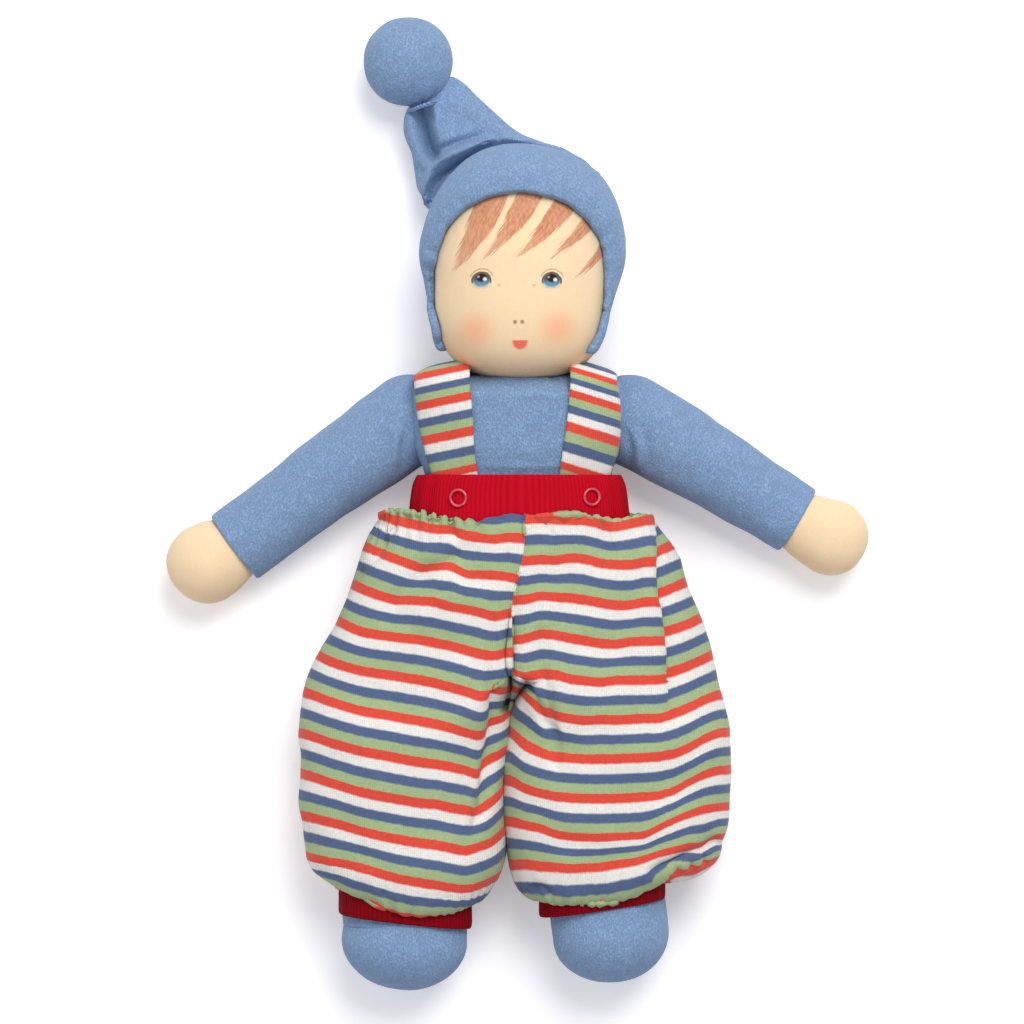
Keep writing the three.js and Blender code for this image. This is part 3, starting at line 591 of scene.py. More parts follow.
def face_material(name, colours):
    """Skin tricot with the printed face, the printed strands of hair and painted shade under the jaw."""
    look = Look(name, 0.85, 0.08)
    look.warm_through()
    tree, place = look.tree, look.place
    metres_x, metres_y, metres_z = split(tree, place)
    rag = (noise_of(tree, stretched(tree, place, (1.0, 0.35, 1.0)), 900.0, 1.0) - 0.5) * 0.5
    x, y = metres_x * (1 / MM) + rag, metres_y * (1 / MM) + rag
    front = metres_z.ramp(0.036, 0.040)
    tone, height = look.knit()
    colour = mixed(tree, tone, tinted(colours["skin"], 0.88), tinted(colours["skin"], 1.04))

    def oval(centre_x, centre_y, radius_x, radius_y, soft):
        return add_group(
            tree, "spot", X=x, Y=y, Centre_X=centre_x, Centre_Y=centre_y, Radius_X=radius_x, Radius_Y=radius_y,
            Soft=soft,
        )

    def spot(*shape):
        return oval(*shape)[0]

    def arc(centre_x, centre_y, radius_x, radius_y, half_line, lowest):
        _, distance = oval(centre_x, centre_y, radius_x, radius_y, 0.1)
        line = (distance - 1.0).math("ABSOLUTE").ramp(half_line * 0.3, half_line, 1.0, 0.0)
        return line * y.ramp(lowest - 0.3, lowest + 0.5)

    def paint(mask, strength, label):
        nonlocal colour
        colour = mixed(tree, mask * front * strength, colour, colours[label])

    for centre in CHEEKS:
        paint(spot(*centre, 5.6, 5.2, 0.95), 0.58, "cheek")
    streak = noise_of(tree, stretched(tree, place, (1.0, 0.1, 1.0)), 1100.0, 2.0).ramp(0.3, 0.65, 0.76, 1.0)
    for root, tip, half_width, bend in HAIR_STRANDS:
        (strand,) = add_group(
            tree, "strand", X=x, Y=y, Root_X=root[0], Root_Y=root[1], Tip_X=tip[0], Tip_Y=tip[1],
            Half_width=half_width, Bend=bend,
        )
        paint(strand * streak, 0.92, "hair")
    for side, (eye_x, eye_y) in zip((-1, 1), EYES):
        paint(arc(eye_x + 0.2, eye_y - 0.6, 4.75, 4.55, 0.085, eye_y + 1.0), 0.55, "crease")
        iris = spot(eye_x, eye_y - 0.3, 3.3, 2.45, 0.14)
        paint(iris, 0.97, "iris")
        paint(spot(eye_x - 0.1, eye_y - 1.9, 2.8, 1.5, 0.7), 0.75, "iris_pale")
        paint(spot(eye_x, eye_y + 1.6, 3.2, 1.9, 0.5) * iris * front, 0.8, "lash")
        paint(spot(eye_x, eye_y + 0.6, 1.8, 1.75, 0.3), 1.0, "pupil")
        paint(arc(eye_x, eye_y - 0.7, 3.65, 3.3, 0.16, eye_y - 1.7), 0.85, "lash")
        paint(spot(eye_x + 1.4, eye_y - 0.1, 0.75, 0.7, 0.5), 0.85, "shine")
        paint(spot(eye_x - 1.2, eye_y + 0.9, 0.5, 0.45, 0.6), 0.45, "glint")
        paint(spot(eye_x - side * 6.9, eye_y - 2.4, 0.7, 0.45, 0.6), 0.4, "crease")
    for centre in NOSTRILS:
        paint(spot(*centre, 0.75, 0.75, 0.35), 0.8, "nostril")
    mouth_x, mouth_y = MOUTH
    below = y.ramp(mouth_y + 1.7, mouth_y + 2.1, 1.0, 0.0)
    paint(spot(mouth_x, mouth_y + 1.6, 3.0, 3.2, 0.2) * below, 0.95, "mouth")
    # Painted shade: the skin turns darker and warmer under the chin and jaw, where shade falls
    jaw = metres_z.ramp(0.045, 0.062, 1.0, 0.0) * y.ramp(50.0, 74.0, 1.0, 0.0)
    look.set(Base_Color=mixed(tree, jaw * 0.45, colour, colours["jaw"]))
    look.bump(height, 0.35, 0.25)
    return look.material


# Places on the doll's face, in millimetres
EYES = ((-14.5, 87.5), (13.1, 87.3))
NOSTRILS = ((-1.3, 70.6), (1.5, 70.6))
MOUTH = (0.6, 61.6)
CHEEKS = ((-16.8, 67.5), (15.5, 68.3))
HAIR_STRANDS = (
    ((-10.7, 118.8), (-27.6, 89.4), 6.2, 1.4),
    ((4.6, 120.8), (-14.6, 94.1), 5.2, 1.2),
    ((18.3, 117.3), (-2.1, 94.9), 4.7, 1.2),
    ((27.3, 109.8), (10.4, 94.1), 2.9, 0.9),
    ((32.8, 99.6), (21.0, 87.1), 2.0, 0.9),
)

# The head's form: its middle in x and z, its levels in y, and its half width, half depth and neck radius
HEAD_CENTRE = (1.3, 36.0)
NECK_FOOT, CHIN, CHEEK, TEMPLE, SKULL_TOP = 32.4, 48.96, 83.36, 92.36, 133.36
HEAD_WIDE, HEAD_DEEP, NECK, JAW_POWER = 34.6, 33.0, 10.0, 2.7
# The share of the head's grid at which the neck, the jaw and the straight temple end
NECK_END, JAW_END, TEMPLE_END = 0.12, 0.50, 0.56

# Edges of the hood in plan, from the doll's left jaw over the top to its right jaw
FACE_EDGE = (
    (26.7, 59.0), (31.1, 65.7), (32.7, 73.0), (33.8, 85.4), (33.8, 94.5), (32.3, 102.6), (28.3, 109.1),
    (21.0, 116.2), (12.9, 119.4), (6.8, 120.6), (0.7, 121.7), (-5.7, 121.1), (-12.0, 119.4), (-19.1, 116.2),
    (-27.8, 107.5), (-32.1, 97.7), (-33.3, 88.6), (-33.3, 79.1), (-31.7, 70.0), (-28.6, 60.5),
)
BRIM_EDGE = (
    (27.7, 58.6), (33.3, 66.4), (36.5, 75.0), (39.9, 86.6), (42.5, 101.4), (41.7, 111.0), (37.9, 121.8),
    (31.9, 130.6), (25.9, 135.0), (19.5, 138.4), (10.7, 141.2), (-1.7, 142.6), (-9.3, 141.4), (-16.9, 138.4),
    (-26.5, 130.6), (-34.3, 119.0), (-37.7, 110.2), (-39.3, 101.4), (-37.4, 86.6), (-35.1, 75.8), (-32.4, 66.2),
    (-29.1, 59.8),
)
HOOD_MIDDLE = (1.1, 86.6)


def head_share(y):
    """How much of its greatest width the head has at a height: a full jaw, a round skull."""
    if y < CHEEK:
        return max(1 - ((CHEEK - y) / (CHEEK - CHIN)) ** JAW_POWER, 0.0) ** (1 / JAW_POWER) if y > CHIN else 0.0
    if y > TEMPLE:
        return max(1 - ((y - TEMPLE) / (SKULL_TOP - TEMPLE)) ** 2, 0.0) ** 0.5
    return 1.0


def head_point(around, along):
    """The head with its short neck, closed at both ends, along Y."""
    join = NECK / HEAD_WIDE
    fullness = 2 / JAW_POWER
    if along < NECK_END:
        # The neck's closed foot takes up the first fifth of the neck's rows
        foot = 0.2
        share = along / NECK_END
        low = CHEEK - (CHEEK - CHIN) * (1 - join**JAW_POWER) ** (1 / JAW_POWER)
        y = mix(NECK_FOOT, low, max((share - foot) / (1 - foot), 0.0))
        wide = deep = NECK * min(share / foot, 1.0)
    elif along < JAW_END:
        least = math.acos(join ** (1 / fullness))
        turn = least * (1 - (along - NECK_END) / (JAW_END - NECK_END))
        y = CHEEK - (CHEEK - CHIN) * math.sin(turn) ** fullness
        wide, deep = HEAD_WIDE * math.cos(turn) ** fullness, HEAD_DEEP * math.cos(turn) ** fullness
    elif along < TEMPLE_END:
        y = mix(CHEEK, TEMPLE, (along - JAW_END) / (TEMPLE_END - JAW_END))
        wide, deep = HEAD_WIDE, HEAD_DEEP
    else:
        turn = (along - TEMPLE_END) / (1 - TEMPLE_END) * math.pi / 2
        y = TEMPLE + (SKULL_TOP - TEMPLE) * math.sin(turn)
        wide, deep = HEAD_WIDE * math.cos(turn), HEAD_DEEP * math.cos(turn)
    angle = TURN * around - math.pi / 2
    return Vector((HEAD_CENTRE[0] + wide * math.cos(angle), y, HEAD_CENTRE[1] + deep * math.sin(angle)))


def polar_table(points):
    """Angle and distance of each point from the hood's middle, with angles that rise from straight below."""
    rows = []
    for x, y in points:
        across, upward = x - HOOD_MIDDLE[0], y - HOOD_MIDDLE[1]
        angle = math.atan2(upward, across)
        rows.append((angle + TURN if angle < -math.pi / 2 else angle, math.hypot(across, upward)))
    return rows


FACE_TABLE = polar_table(FACE_EDGE)
BRIM_TABLE = polar_table(BRIM_EDGE)


def hood_point(around, along):
    """The hood from its rolled edge round the face, over the brim, to the back of the head."""
    over_skin, roll_rise, shoulder, floor = 1.6, 2.2, 38.0, 0.2
    under_chin, past_jaw = 0.11, 0.07
    angle = -math.pi / 2 + TURN * around
    start, end = FACE_TABLE[0][0], FACE_TABLE[-1][0]
    opening = ease(start - under_chin, start + past_jaw, angle) * (1 - ease(end - past_jaw, end + under_chin, angle))
    inner = level_at(FACE_TABLE, min(max(angle, start), end))
    inner += 0.4 * noise.noise(Vector((angle * 9, 2.5, 0.0))) + 0.12 * noise.noise(Vector((angle * 30, 7.5, 0.0)))
    outer = level_at(BRIM_TABLE, min(max(angle, BRIM_TABLE[0][0]), BRIM_TABLE[-1][0]))
    over_x = HOOD_MIDDLE[0] + inner * math.cos(angle) - HEAD_CENTRE[0]
    full = head_share(HOOD_MIDDLE[1] + inner * math.sin(angle))
    beside = max(1 - (over_x / (HEAD_WIDE * max(full, 0.01))) ** 2, 0.0)
    skin_level = HEAD_CENTRE[1] + HEAD_DEEP * full * beside**0.5
    edge = skin_level + over_skin
    band = outer - inner
    top = edge + roll_rise + band * 0.06
    face_rows = [
        (inner + 1.2, edge - 3.2),
        (inner + 0.1, edge - 1.4),
        (inner + 0.2, edge + 0.8),
        (inner + 1.8, top - 0.4),
        (inner + band * 0.45, mix(top, shoulder, 0.12) + 0.6),
        (inner + band * 0.78, mix(top, shoulder, 0.42) + 1.0),
        (outer - 0.3, mix(top, shoulder, 0.8)),
        (outer - 0.1, shoulder - 5),
        (outer * 0.93, 20.0),
        (outer * 0.78, 8.0),
        (outer * 0.5, 1.6),
        (outer * 0.25, 0.4),
        (0.0, 0.25),
    ]
    # Under the chin the hood has no opening, and its rows run round the nape
    nape_rows = [
        (27.0, 23.0), (27.4, 23.6), (28.0, 23.4), (28.8, 22.6), (29.6, 21.0), (30.2, 19.0), (30.4, 16.5),
        (30.0, 13.5), (28.6, 9.5), (25.0, 5.0), (16.0, 1.4), (8.0, 0.4), (0.0, 0.25),
    ]
    rows = [
        (mix(low[0], high[0], opening), mix(low[1], high[1], opening)) for low, high in zip(nape_rows, face_rows)
    ]
    radius, height = curve_row(rows, along * (len(rows) - 1))
    x = HOOD_MIDDLE[0] + radius * math.cos(angle)
    y = HOOD_MIDDLE[1] + radius * math.sin(angle)
    return Vector((x, y, max(height, floor)))


# The hat's limp tip: left and right edge in plan, middle height and half depth, from the tie to the crown
HAT_ROWS = (
    (-41.5, 161.4, -35.9, 165.0, 17.5, 4.8),
    (-44.9, 157.0, -28.9, 170.6, 15.0, 6.5),
    (-45.9, 150.2, -22.1, 169.0, 12.5, 8.5),
    (-43.7, 142.2, -12.5, 160.2, 11.5, 10.5),
    (-41.3, 133.0, -2.5, 150.6, 12.5, 12.0),
    (-40.5, 125.8, 7.9, 145.8, 14.5, 14.2),
    (-36.5, 120.2, 21.5, 140.6, 16.5, 16.2),
    (-30.9, 116.2, 32.3, 131.0, 17.5, 17.2),
    (-25.3, 110.6, 34.3, 119.0, 17.5, 17.0),
)


def hat_point(around, along):
    """The limp tip, flattened where it lies on the surface."""
    left_x, left_y, right_x, right_y, middle, deep = curve_row(HAT_ROWS, along * (len(HAT_ROWS) - 1))
    angle = TURN * around - math.pi / 2
    across, upward = rounded(math.cos(angle), 2.2), rounded(math.sin(angle), 2.2)
    x = mix(left_x, right_x, 0.5 + across / 2)
    y = mix(left_y, right_y, 0.5 + across / 2)
    return Vector((x, y, max(middle + deep * upward, 0.3)))


BALL_CENTRE, BALL_RADIUS = Vector((-44.1, 177.0, 18.0)), 18.0
# From the ball's centre towards its tie, and the two ways across that
BALL_POLE, BALL_SIDE, BALL_RISE = Vector((0.331, -0.943, 0.0)), Vector((0.943, 0.331, 0.0)), Vector((0, 0, 1))


def ball_point(around, along):
    """The ball, puckered round its tie."""
    turn, polar = TURN * around, math.pi * along
    near = math.exp(-((polar / 0.42) ** 2))
    pucker = 1 - 0.03 * near * (1 + math.sin(9 * turn))
    spread = BALL_SIDE * math.cos(turn) + BALL_RISE * math.sin(turn)
    return BALL_CENTRE + (BALL_POLE * math.cos(polar) + spread * math.sin(polar)) * BALL_RADIUS * pucker


# The torso's form, as stations of a soft tube from the seat to the shoulders
TORSO = (
    (-0.3, -33.6, 25.5, 43.0, 21.5, 3.3),
    (-0.3, 3.0, 25.5, 36.0, 19.5, 3.3),
    (-0.3, 25.4, 27.0, 41.6, 22.6, 3.3),
    (-0.3, 46.8, 32.0, 41.2, 20.5, 3.3),
)
TORSO_X = -0.3
SHOULDER_Y = 46.8
TORSO_POWER = 2.8


def torso_row(y):
    """Middle, half width and half depth of the torso at a height."""
    return [level_at([(row[1], row[item]) for row in TORSO], y) for item in (2, 3, 4)]


def torso_level(x, y, grow, front=1):
    """The height of a layer that lies by grow over the torso's front, or under its back."""
    middle, wide, deep = torso_row(y)
    across = min(abs(x - TORSO_X) / (wide + grow), 1.0)
    return middle + front * (deep + grow) * (1 - across ** TORSO_POWER) ** (1 / TORSO_POWER)


def strap_point(edges, outward, grow, waviness):
    """A strap from behind the waistband's front, over the shoulder, to behind its back."""
    outer_edge, inner_edge = ([(y, x) for x, y in edge] for edge in edges)
    straight, hidden_end, rim_drop, over_shoulder, floor = 0.86, -9.0, 0.7, 9.6, 1.7

    def place(across, along):
        front = along < 0.5
        share = along / 0.5 if front else (1 - along) / 0.5
        y = mix(hidden_end, SHOULDER_Y, min(share / straight, 1.0))
        x = mix(level_at(outer_edge, y), level_at(inner_edge, y), across)
        rim = abs(across - 0.5) * 2
        lift = grow - rim_drop * rim**6 + waviness * math.sin(y * 0.19 + across * 3 + outward) * 0.4
        side = 1 if front else -1
        if share <= straight:
            z = torso_level(x, y, lift, side)
        else:
            widest = torso_row(SHOULDER_Y)
            most = math.acos(min(abs(x - TORSO_X) / (widest[1] + lift), 1.0))
            turn = most * (share - straight) / (1 - straight)
            y = SHOULDER_Y + (over_shoulder + lift) * math.sin(turn)
            inside = min(abs(x - TORSO_X) / ((widest[1] + lift) * math.cos(turn)), 1.0)
            deep = (widest[2] + lift) * math.cos(turn) * (1 - inside ** TORSO_POWER) ** (1 / TORSO_POWER)
            z = widest[0] + side * deep
        return Vector((x, y, max(z, floor)))

    return place


def band_point(rows, half_width, half_depth, middle, floor, slant=0.0, pucker=0.0, puckers=0):
    """A closed rib band: round it by u, round its own section by v, from (lift, height) rows."""

    def place(around, along):
        lift, y = curve_row(rows, along * (len(rows) - 1))
        angle = TURN * around - math.pi / 2
        wave = pucker * math.sin(puckers * TURN * around + 2 * math.sin(3 * TURN * around))
        squareness = 2.6
        x = middle[0] + (half_width(y) + lift + wave) * rounded(math.cos(angle), squareness)
        z = middle[1] + (half_depth(y) + lift + wave) * rounded(math.sin(angle), squareness)
        return Vector((x, y + slant * (x - middle[0]), max(z, floor - lift)))

    return place


# The trousers' centre seam in plan, from the waist to the crotch
SEAM = (
    (3.0, -1.1), (2.6, -7.0), (1.8, -18.8), (-0.1, -30.7), (-1.7, -38.6), (-3.1, -50.0), (-3.3, -63.0), (-2.1, -73.3)
)
# Each half of the trousers in plan: which way is outwards, its outlines from the waist down, the hem's level and how
# far it puffs out below that, how fast its outer side draws in, the x past which it bunches, and its cuff's middle and
# half width
TROUSERS = {
    "right": {
        "out": -1,
        "outer": (
            (-56.5, -0.6), (-55.7, -3.8), (-54.9, -7.0), (-58.5, -11.8), (-61.7, -18.2), (-64.1, -26.6), (-66.9, -33.4),
            (-70.9, -41.8), (-74.5, -49.0), (-78.5, -56.2), (-83.7, -67.0), (-86.7, -76.2), (-88.7, -92.6),
            (-88.1, -101.4), (-87.3, -116.2), (-86.5, -127.8), (-84.9, -139.0),
        ),
        "inner": (
            *SEAM, (-2.5, -80.6), (-3.3, -92.6), (-4.9, -104.2), (-5.9, -113.0), (-6.1, -121.8), (-5.9, -130.6),
            (-6.4, -139.4),
        ),
        "end": -139.8,
        "dome": (
            (-79.0, 11.0), (-69.6, 15.0), (-59.7, 18.0), (-53.4, 21.0), (-45.9, 23.4), (-36.8, 24.2),
            (-27.0, 23.4), (-18.3, 20.5), (-7.2, 17.0),
        ),
        "fullness": 0.9,
        "bunch": 999.0,
        "cuff": (-45.1, 27.8),
    },
    "left": {
        "out": 1,
        "outer": (
            (54.7, -0.6), (53.9, -3.8), (55.9, -9.0), (61.9, -17.4), (64.7, -22.2), (70.7, -39.0), (75.9, -53.0),
            (79.1, -63.0), (81.8, -75.0), (83.3, -82.6), (84.7, -91.0), (85.7, -100.6), (86.1, -110.2),
            (85.3, -119.8), (84.1, -129.0), (81.5, -137.0),
        ),
        "inner": (
            *SEAM, (-2.7, -80.6), (-3.5, -89.4), (-5.4, -100.6), (-6.4, -113.4), (-6.0, -126.2),
            (-4.6, -137.0),
        ),
        "end": -136.2,
        "dome": (
            (7.0, 22.0), (16.4, 23.2), (36.2, 22.6), (44.1, 20.8), (51.9, 16.4), (57.5, 13.8),
            (67.7, 14.6), (79.6, 14.0),
        ),
        "fullness": 1.15,
        "bunch": 53.9,
        "cuff": (33.7, 26.4),
    },
}
# Half the trousers' depth at each height, about the height of their middle
HALF_DEPTHS = ((0.0, 28.6), (-14.0, 28.4), (-45.0, 28.2), (-80.0, 27.5), (-120.0, 27.2), (-145.0, 26.2))
TROUSER_MIDDLE = 26.2
# The height of the ankle cuffs' middle, and half their depth with the trousers' cloth
CUFF_MIDDLE, CUFF_DEEP = 22.4, 21.8
# The gathered top edge, in plan
WAIST_EDGE = (
    (-55.4, -5.4), (-53.0, -3.8), (-47.1, -2.9), (-38.8, -4.0), (-30.1, -5.8), (-19.1, -7.6), (-12.8, -7.0),
    (-5.7, -4.8), (3.0, -5.2), (14.1, -4.6), (23.9, -4.0), (31.4, -5.2), (38.5, -6.5), (47.2, -4.8),
    (52.7, -5.8), (55.9, -8.6),
)


def trouser_point(half):
    """One half of the trousers: over the waist's gathers, down the leg, and under to the ankle's.

    The cloth turns in over the crest with the grid's first rows, up to waist_share, and turns under at the hem with its
    last, from hem_share.
    """
    out = half["out"]
    outer = [(y, x) for x, y in half["outer"]]
    inner = [(y, x) for x, y in half["inner"]]
    cuff_x, cuff_wide = half["cuff"]
    crest, waist_share, hem_share = -4.6, 0.06, 0.8
    tucked_wide, tucked_deep, turned_under = 43.0, 25.6, math.radians(118)
    crotch, legs_apart, least_gap, half_gap = -63.8, -98.5, 0.03, 0.4
    inner_share, inner_square, outer_square, depth_square = 0.44, 2.2, 2.5, 2.4
    inside_floor, outside_floor = 2.6, 0.25

    def place(around, along):
        angle = TURN * around + 0.16 * math.sin(2 * TURN * around)
        c, s = math.cos(angle), math.sin(angle)
        y = crest + (half["end"] - crest) * (along - waist_share) / (hem_share - waist_share)
        y = min(max(y, half["end"]), crest)
        shrink, turn = 0.0, 0.0
        if along > hem_share:
            turn = (along - hem_share) / (1 - hem_share) * turned_under
            shrink = 1 - math.cos(turn) if turn < math.pi / 2 else 1.0
            if c < 0:
                shrink = shrink ** half["fullness"]
        medial, lateral = level_at(inner, y), level_at(outer, y)
        deep = level_at(HALF_DEPTHS, y)
        apart = mix(least_gap, 1.0, ease(crotch, legs_apart, y))
        width = abs(lateral - medial)
        to_medial = width * inner_share * apart
        middle_x = medial + out * (to_medial - half_gap)
        to_lateral = width - to_medial
        tuck = 0.0
        if along < waist_share:
            tuck = 1 - math.sin(along / waist_share * math.pi / 2)
            to_lateral = mix(to_lateral, tucked_wide - abs(middle_x - TORSO_X), tuck**0.8)
            deep = mix(deep, tucked_deep, tuck)
        if c > 0:
            x = middle_x - out * to_medial * rounded(c, inner_square)
        else:
            x = middle_x - out * to_lateral * rounded(c, outer_square)
        z = TROUSER_MIDDLE + deep * rounded(s, depth_square)
        near_top = 1 - ease(crest - 2, crest - 18, y)
        if near_top > 0:
            drawn = mix(0.12, 1.0, ease(-7.2, -30.9, x)) * (0.65 + noise.noise(Vector((x * 0.3, out, s * 0.4))))
            scallop = 0.6 * drawn * math.sin(x * 1.75 + 2.4 * math.sin(x * 0.23) + s)
            y += near_top * (scallop + (level_at(WAIST_EDGE, x) - crest) * ease(0.0, 0.35, s)) - 5.0 * tuck
        if along > hem_share:
            x = mix(x, cuff_x - out * cuff_wide * rounded(c, depth_square), shrink)
            z = mix(z, CUFF_MIDDLE + CUFF_DEEP * rounded(s, depth_square), shrink)
            y = half["end"] - level_at(half["dome"], x) * math.sin(turn)
        inside = tuck > 0.05 or shrink >= 1
        return Vector((x, y, max(z, inside_floor if inside else outside_floor)))

    return place


# Folds, in plan: a line, its depth and its width, then how soon it fades towards its ends and whether it sinks
# straight down; a negative depth is a ridge
SEAM_VALLEY = (((0.7, -26.7), (-1.7, -38.6), (-3.1, -50.0), (-3.3, -63.0), (-2.1, -73.3)), 2.4, 1.9, 0.6, True)
SEAM_CREASE = (((-2.1, -42.5), (-3.1, -50.0), (-3.3, -63.0), (-2.1, -73.3), (-2.5, -78.0)), 3.2, 1.5, 0.8, True)
TROUSER_FOLDS = {
    "right": (
        (
            (
                (-8.0, -43.3), (-8.8, -54.3), (-9.2, -74.1), (-9.6, -85.5), (-10.8, -100.1), (-12.4, -111.6),
                (-14.7, -122.2), (-17.9, -131.7),
            ), 3.6, 2.4,
        ),
        (((-6.0, -43.3), (-6.0, -70.1)), -1.2, 2.6),
        SEAM_VALLEY,
        (((-54.2, -8.2), (-51.0, -10.6), (-48.3, -8.6)), 3.0, 1.5),
        (((-51.8, -11.7), (-54.6, -16.9), (-57.7, -23.6)), 3.2, 2.0),
        (((-62.1, -25.1), (-64.0, -30.7)), 1.6, 1.8),
        (((-26.2, -5.4), (-25.8, -10.9), (-22.2, -18.0)), 1.7, 1.6),
        (((-33.7, -5.4), (-34.1, -10.9)), 1.4, 1.5),
        (((-15.1, -7.0), (-16.7, -12.5)), 1.3, 1.4),
        (((-42.0, -5.0), (-40.8, -11.7)), 1.5, 1.5),
        (((-34.8, -22.8), (-46.7, -34.6), (-52.6, -48.4)), 1.1, 7.0),
        (((-25.0, -18.0), (-19.1, -28.7), (-10.4, -34.6)), 1.3, 5.0),
        (((-34.8, -16.9), (-30.9, -22.8), (-29.3, -34.6)), -1.3, 5.0),
        (((-5.3, -37.0), (-19.1, -54.3), (-38.8, -62.2)), 0.9, 8.0),
        (((-74.3, -145.1), (-62.5, -141.1), (-46.7, -144.3)), 1.0, 5.0),
        (((1.1, -69.3), (-2.5, -76.8), (-6.0, -83.5)), 20.0, 1.9, 0.3, True),
        SEAM_CREASE,
        (((-15.9, -16.9), (-25.0, -21.2), (-36.8, -27.5), (-47.5, -39.7), (-54.6, -56.3)), 1.6, 4.0),
        (((-20.6, -14.1), (-30.9, -18.8), (-40.8, -25.5), (-51.4, -34.6)), -1.2, 3.5),
        (((-8.4, -38.6), (-23.0, -35.4), (-31.7, -39.7), (-40.8, -50.4)), -1.0, 4.5),
        (((-15.1, -78.0), (-34.8, -82.7), (-58.5, -78.0), (-74.3, -74.1)), 1.0, 7.0),
        (((-19.1, -109.6), (-38.8, -113.5), (-66.4, -107.6)), -0.9, 9.0),
    ),
    "left": (
        (((33.8, -6.2), (35.4, -12.9), (37.4, -21.2)), 2.4, 1.5),
        SEAM_VALLEY,
        (((40.1, -6.2), (42.1, -22.8), (43.3, -38.6)), -1.3, 4.0),
        (((55.5, -12.5), (55.5, -30.7), (57.5, -42.5), (59.0, -54.3), (60.2, -69.7), (60.2, -88.7)), 2.6, 1.7, 0.5),
        (((51.9, -10.9), (52.7, -38.6), (55.9, -70.1)), -1.4, 3.0),
        (((8.9, -48.4), (9.7, -63.0), (11.7, -78.0), (12.9, -91.8), (14.9, -105.6)), 2.4, 2.2),
        (((5.4, -69.7), (2.2, -73.7), (-2.1, -79.6), (-5.3, -83.9)), 20.0, 1.9, 0.3, True),
        SEAM_CREASE,
        (((4.6, -71.7), (7.4, -79.2), (10.5, -86.7), (16.4, -93.0)), 2.0, 1.6),
        (((-1.3, -85.9), (8.5, -95.8), (24.3, -98.5)), 1.2, 4.0),
        (((22.4, -54.3), (36.2, -60.3), (51.9, -58.3)), 1.0, 6.0),
        (((20.4, -78.0), (36.2, -82.7), (55.9, -78.0), (71.7, -70.1)), -0.9, 7.0),
        (((16.4, -113.5), (40.1, -117.5), (63.8, -111.6), (77.6, -101.7)), 0.9, 8.0),
        (((11.7, -50.4), (14.9, -78.0), (16.4, -93.8)), -0.9, 4.0),
        (((11.7, -8.2), (12.1, -11.7), (14.9, -14.9)), 1.1, 1.5),
        (((7.0, -38.6), (10.5, -30.7), (16.4, -22.8)), 0.8, 5.0),
        (((51.2, -147.5), (57.9, -143.5), (66.9, -139.2), (74.0, -137.2), (80.4, -134.0)), 4.2, 2.2),
        (((68.5, -146.7), (70.1, -141.1)), 2.0, 1.4),
        (((74.4, -144.3), (74.0, -139.6)), 2.2, 1.4),
        (((62.6, -147.5), (63.8, -143.5)), 1.8, 1.4),
        (((2.6, -154.2), (8.5, -152.2), (14.9, -155.7)), 2.0, 1.6),
        (((16.4, -132.5), (40.1, -141.9), (63.8, -134.0)), 1.2, 6.0),
        (((48.0, -22.8), (51.2, -30.7), (53.9, -38.6)), 1.0, 3.0),
    ),
}
HAT_FOLDS = (
    (((-40.5, 164.2), (-38.9, 157.0), (-37.3, 149.8), (-35.3, 142.6), (-32.5, 136.2)), 10.5, 2.5, 0.3),
    (((-37.3, 160.2), (-35.7, 156.2), (-34.1, 151.4)), 2.6, 1.5, 0.5),
    (((-44.1, 156.2), (-44.1, 149.0), (-41.7, 141.8), (-39.7, 135.4)), -2.5, 2.6, 0.5),
    (((-32.9, 161.0), (-32.9, 151.4), (-30.9, 142.6)), -2.5, 3.0, 0.5),
    (
        ((-37.7, 121.0), (-37.3, 127.4), (-35.7, 133.0), (-31.3, 137.4), (-24.1, 140.6), (-16.1, 143.4), (-8.9, 147.0)),
        -5.0, 2.3, 0.3,
    ),
    (((-35.3, 121.8), (-32.9, 127.4), (-28.9, 132.2), (-23.3, 136.2), (-16.9, 139.4), (-10.5, 142.2)), 5.5, 2.0, 0.4),
    (((-34.9, 137.0), (-32.1, 139.8), (-28.1, 142.2), (-22.5, 144.2), (-16.1, 146.2), (-7.3, 148.6)), 4.4, 1.9, 0.8),
    (((-40.5, 125.8), (-38.9, 130.2), (-37.7, 134.2)), 2.6, 1.6, 0.6),
    (((-36.1, 123.4), (-34.1, 128.2), (-30.9, 131.8), (-27.3, 133.8)), 4.0, 1.4, 0.5),
    (
        (
            (-37.7, 115.4), (-34.9, 121.4), (-30.9, 127.4), (-26.1, 132.6), (-20.9, 136.6), (-13.7, 140.2),
            (-5.7, 142.2), (5.1, 141.8), (13.5, 139.8), (22.3, 136.2), (31.9, 129.8),
        ), 8.0, 2.4, 0.12,
    ),
    (((-25.3, 171.4), (-16.1, 161.8), (-7.3, 152.2), (0.7, 146.6)), 1.5, 1.0, 0.3),
    (((-27.7, 167.4), (-20.9, 158.6), (-12.9, 150.6)), -1.2, 5.0, 0.5),
    (((-7.3, 146.6), (0.7, 145.0), (10.7, 142.2), (23.9, 137.0)), -1.6, 2.0, 0.4),
    (((-23.7, 159.4), (-19.3, 151.4), (-19.3, 145.0)), 1.2, 3.0, 0.5),
)
CHEST_FOLDS = (
    (((-10.5, 50.2), (-4.9, 49.0), (0.7, 48.6), (6.3, 49.0), (11.9, 50.2)), -2.6, 2.6),
    (((-4.1, 49.8), (-4.1, 42.6)), 1.0, 0.9),
    (((-7.3, 49.8), (-9.3, 43.4)), 0.7, 1.0),
    (((0.3, 49.8), (2.3, 43.4)), 0.7, 1.0),
    (((5.1, 49.8), (8.7, 44.2)), 0.5, 1.0),
    (((-16.1, 14.6), (0.7, 13.8), (17.5, 14.6)), -0.5, 1.2),
)
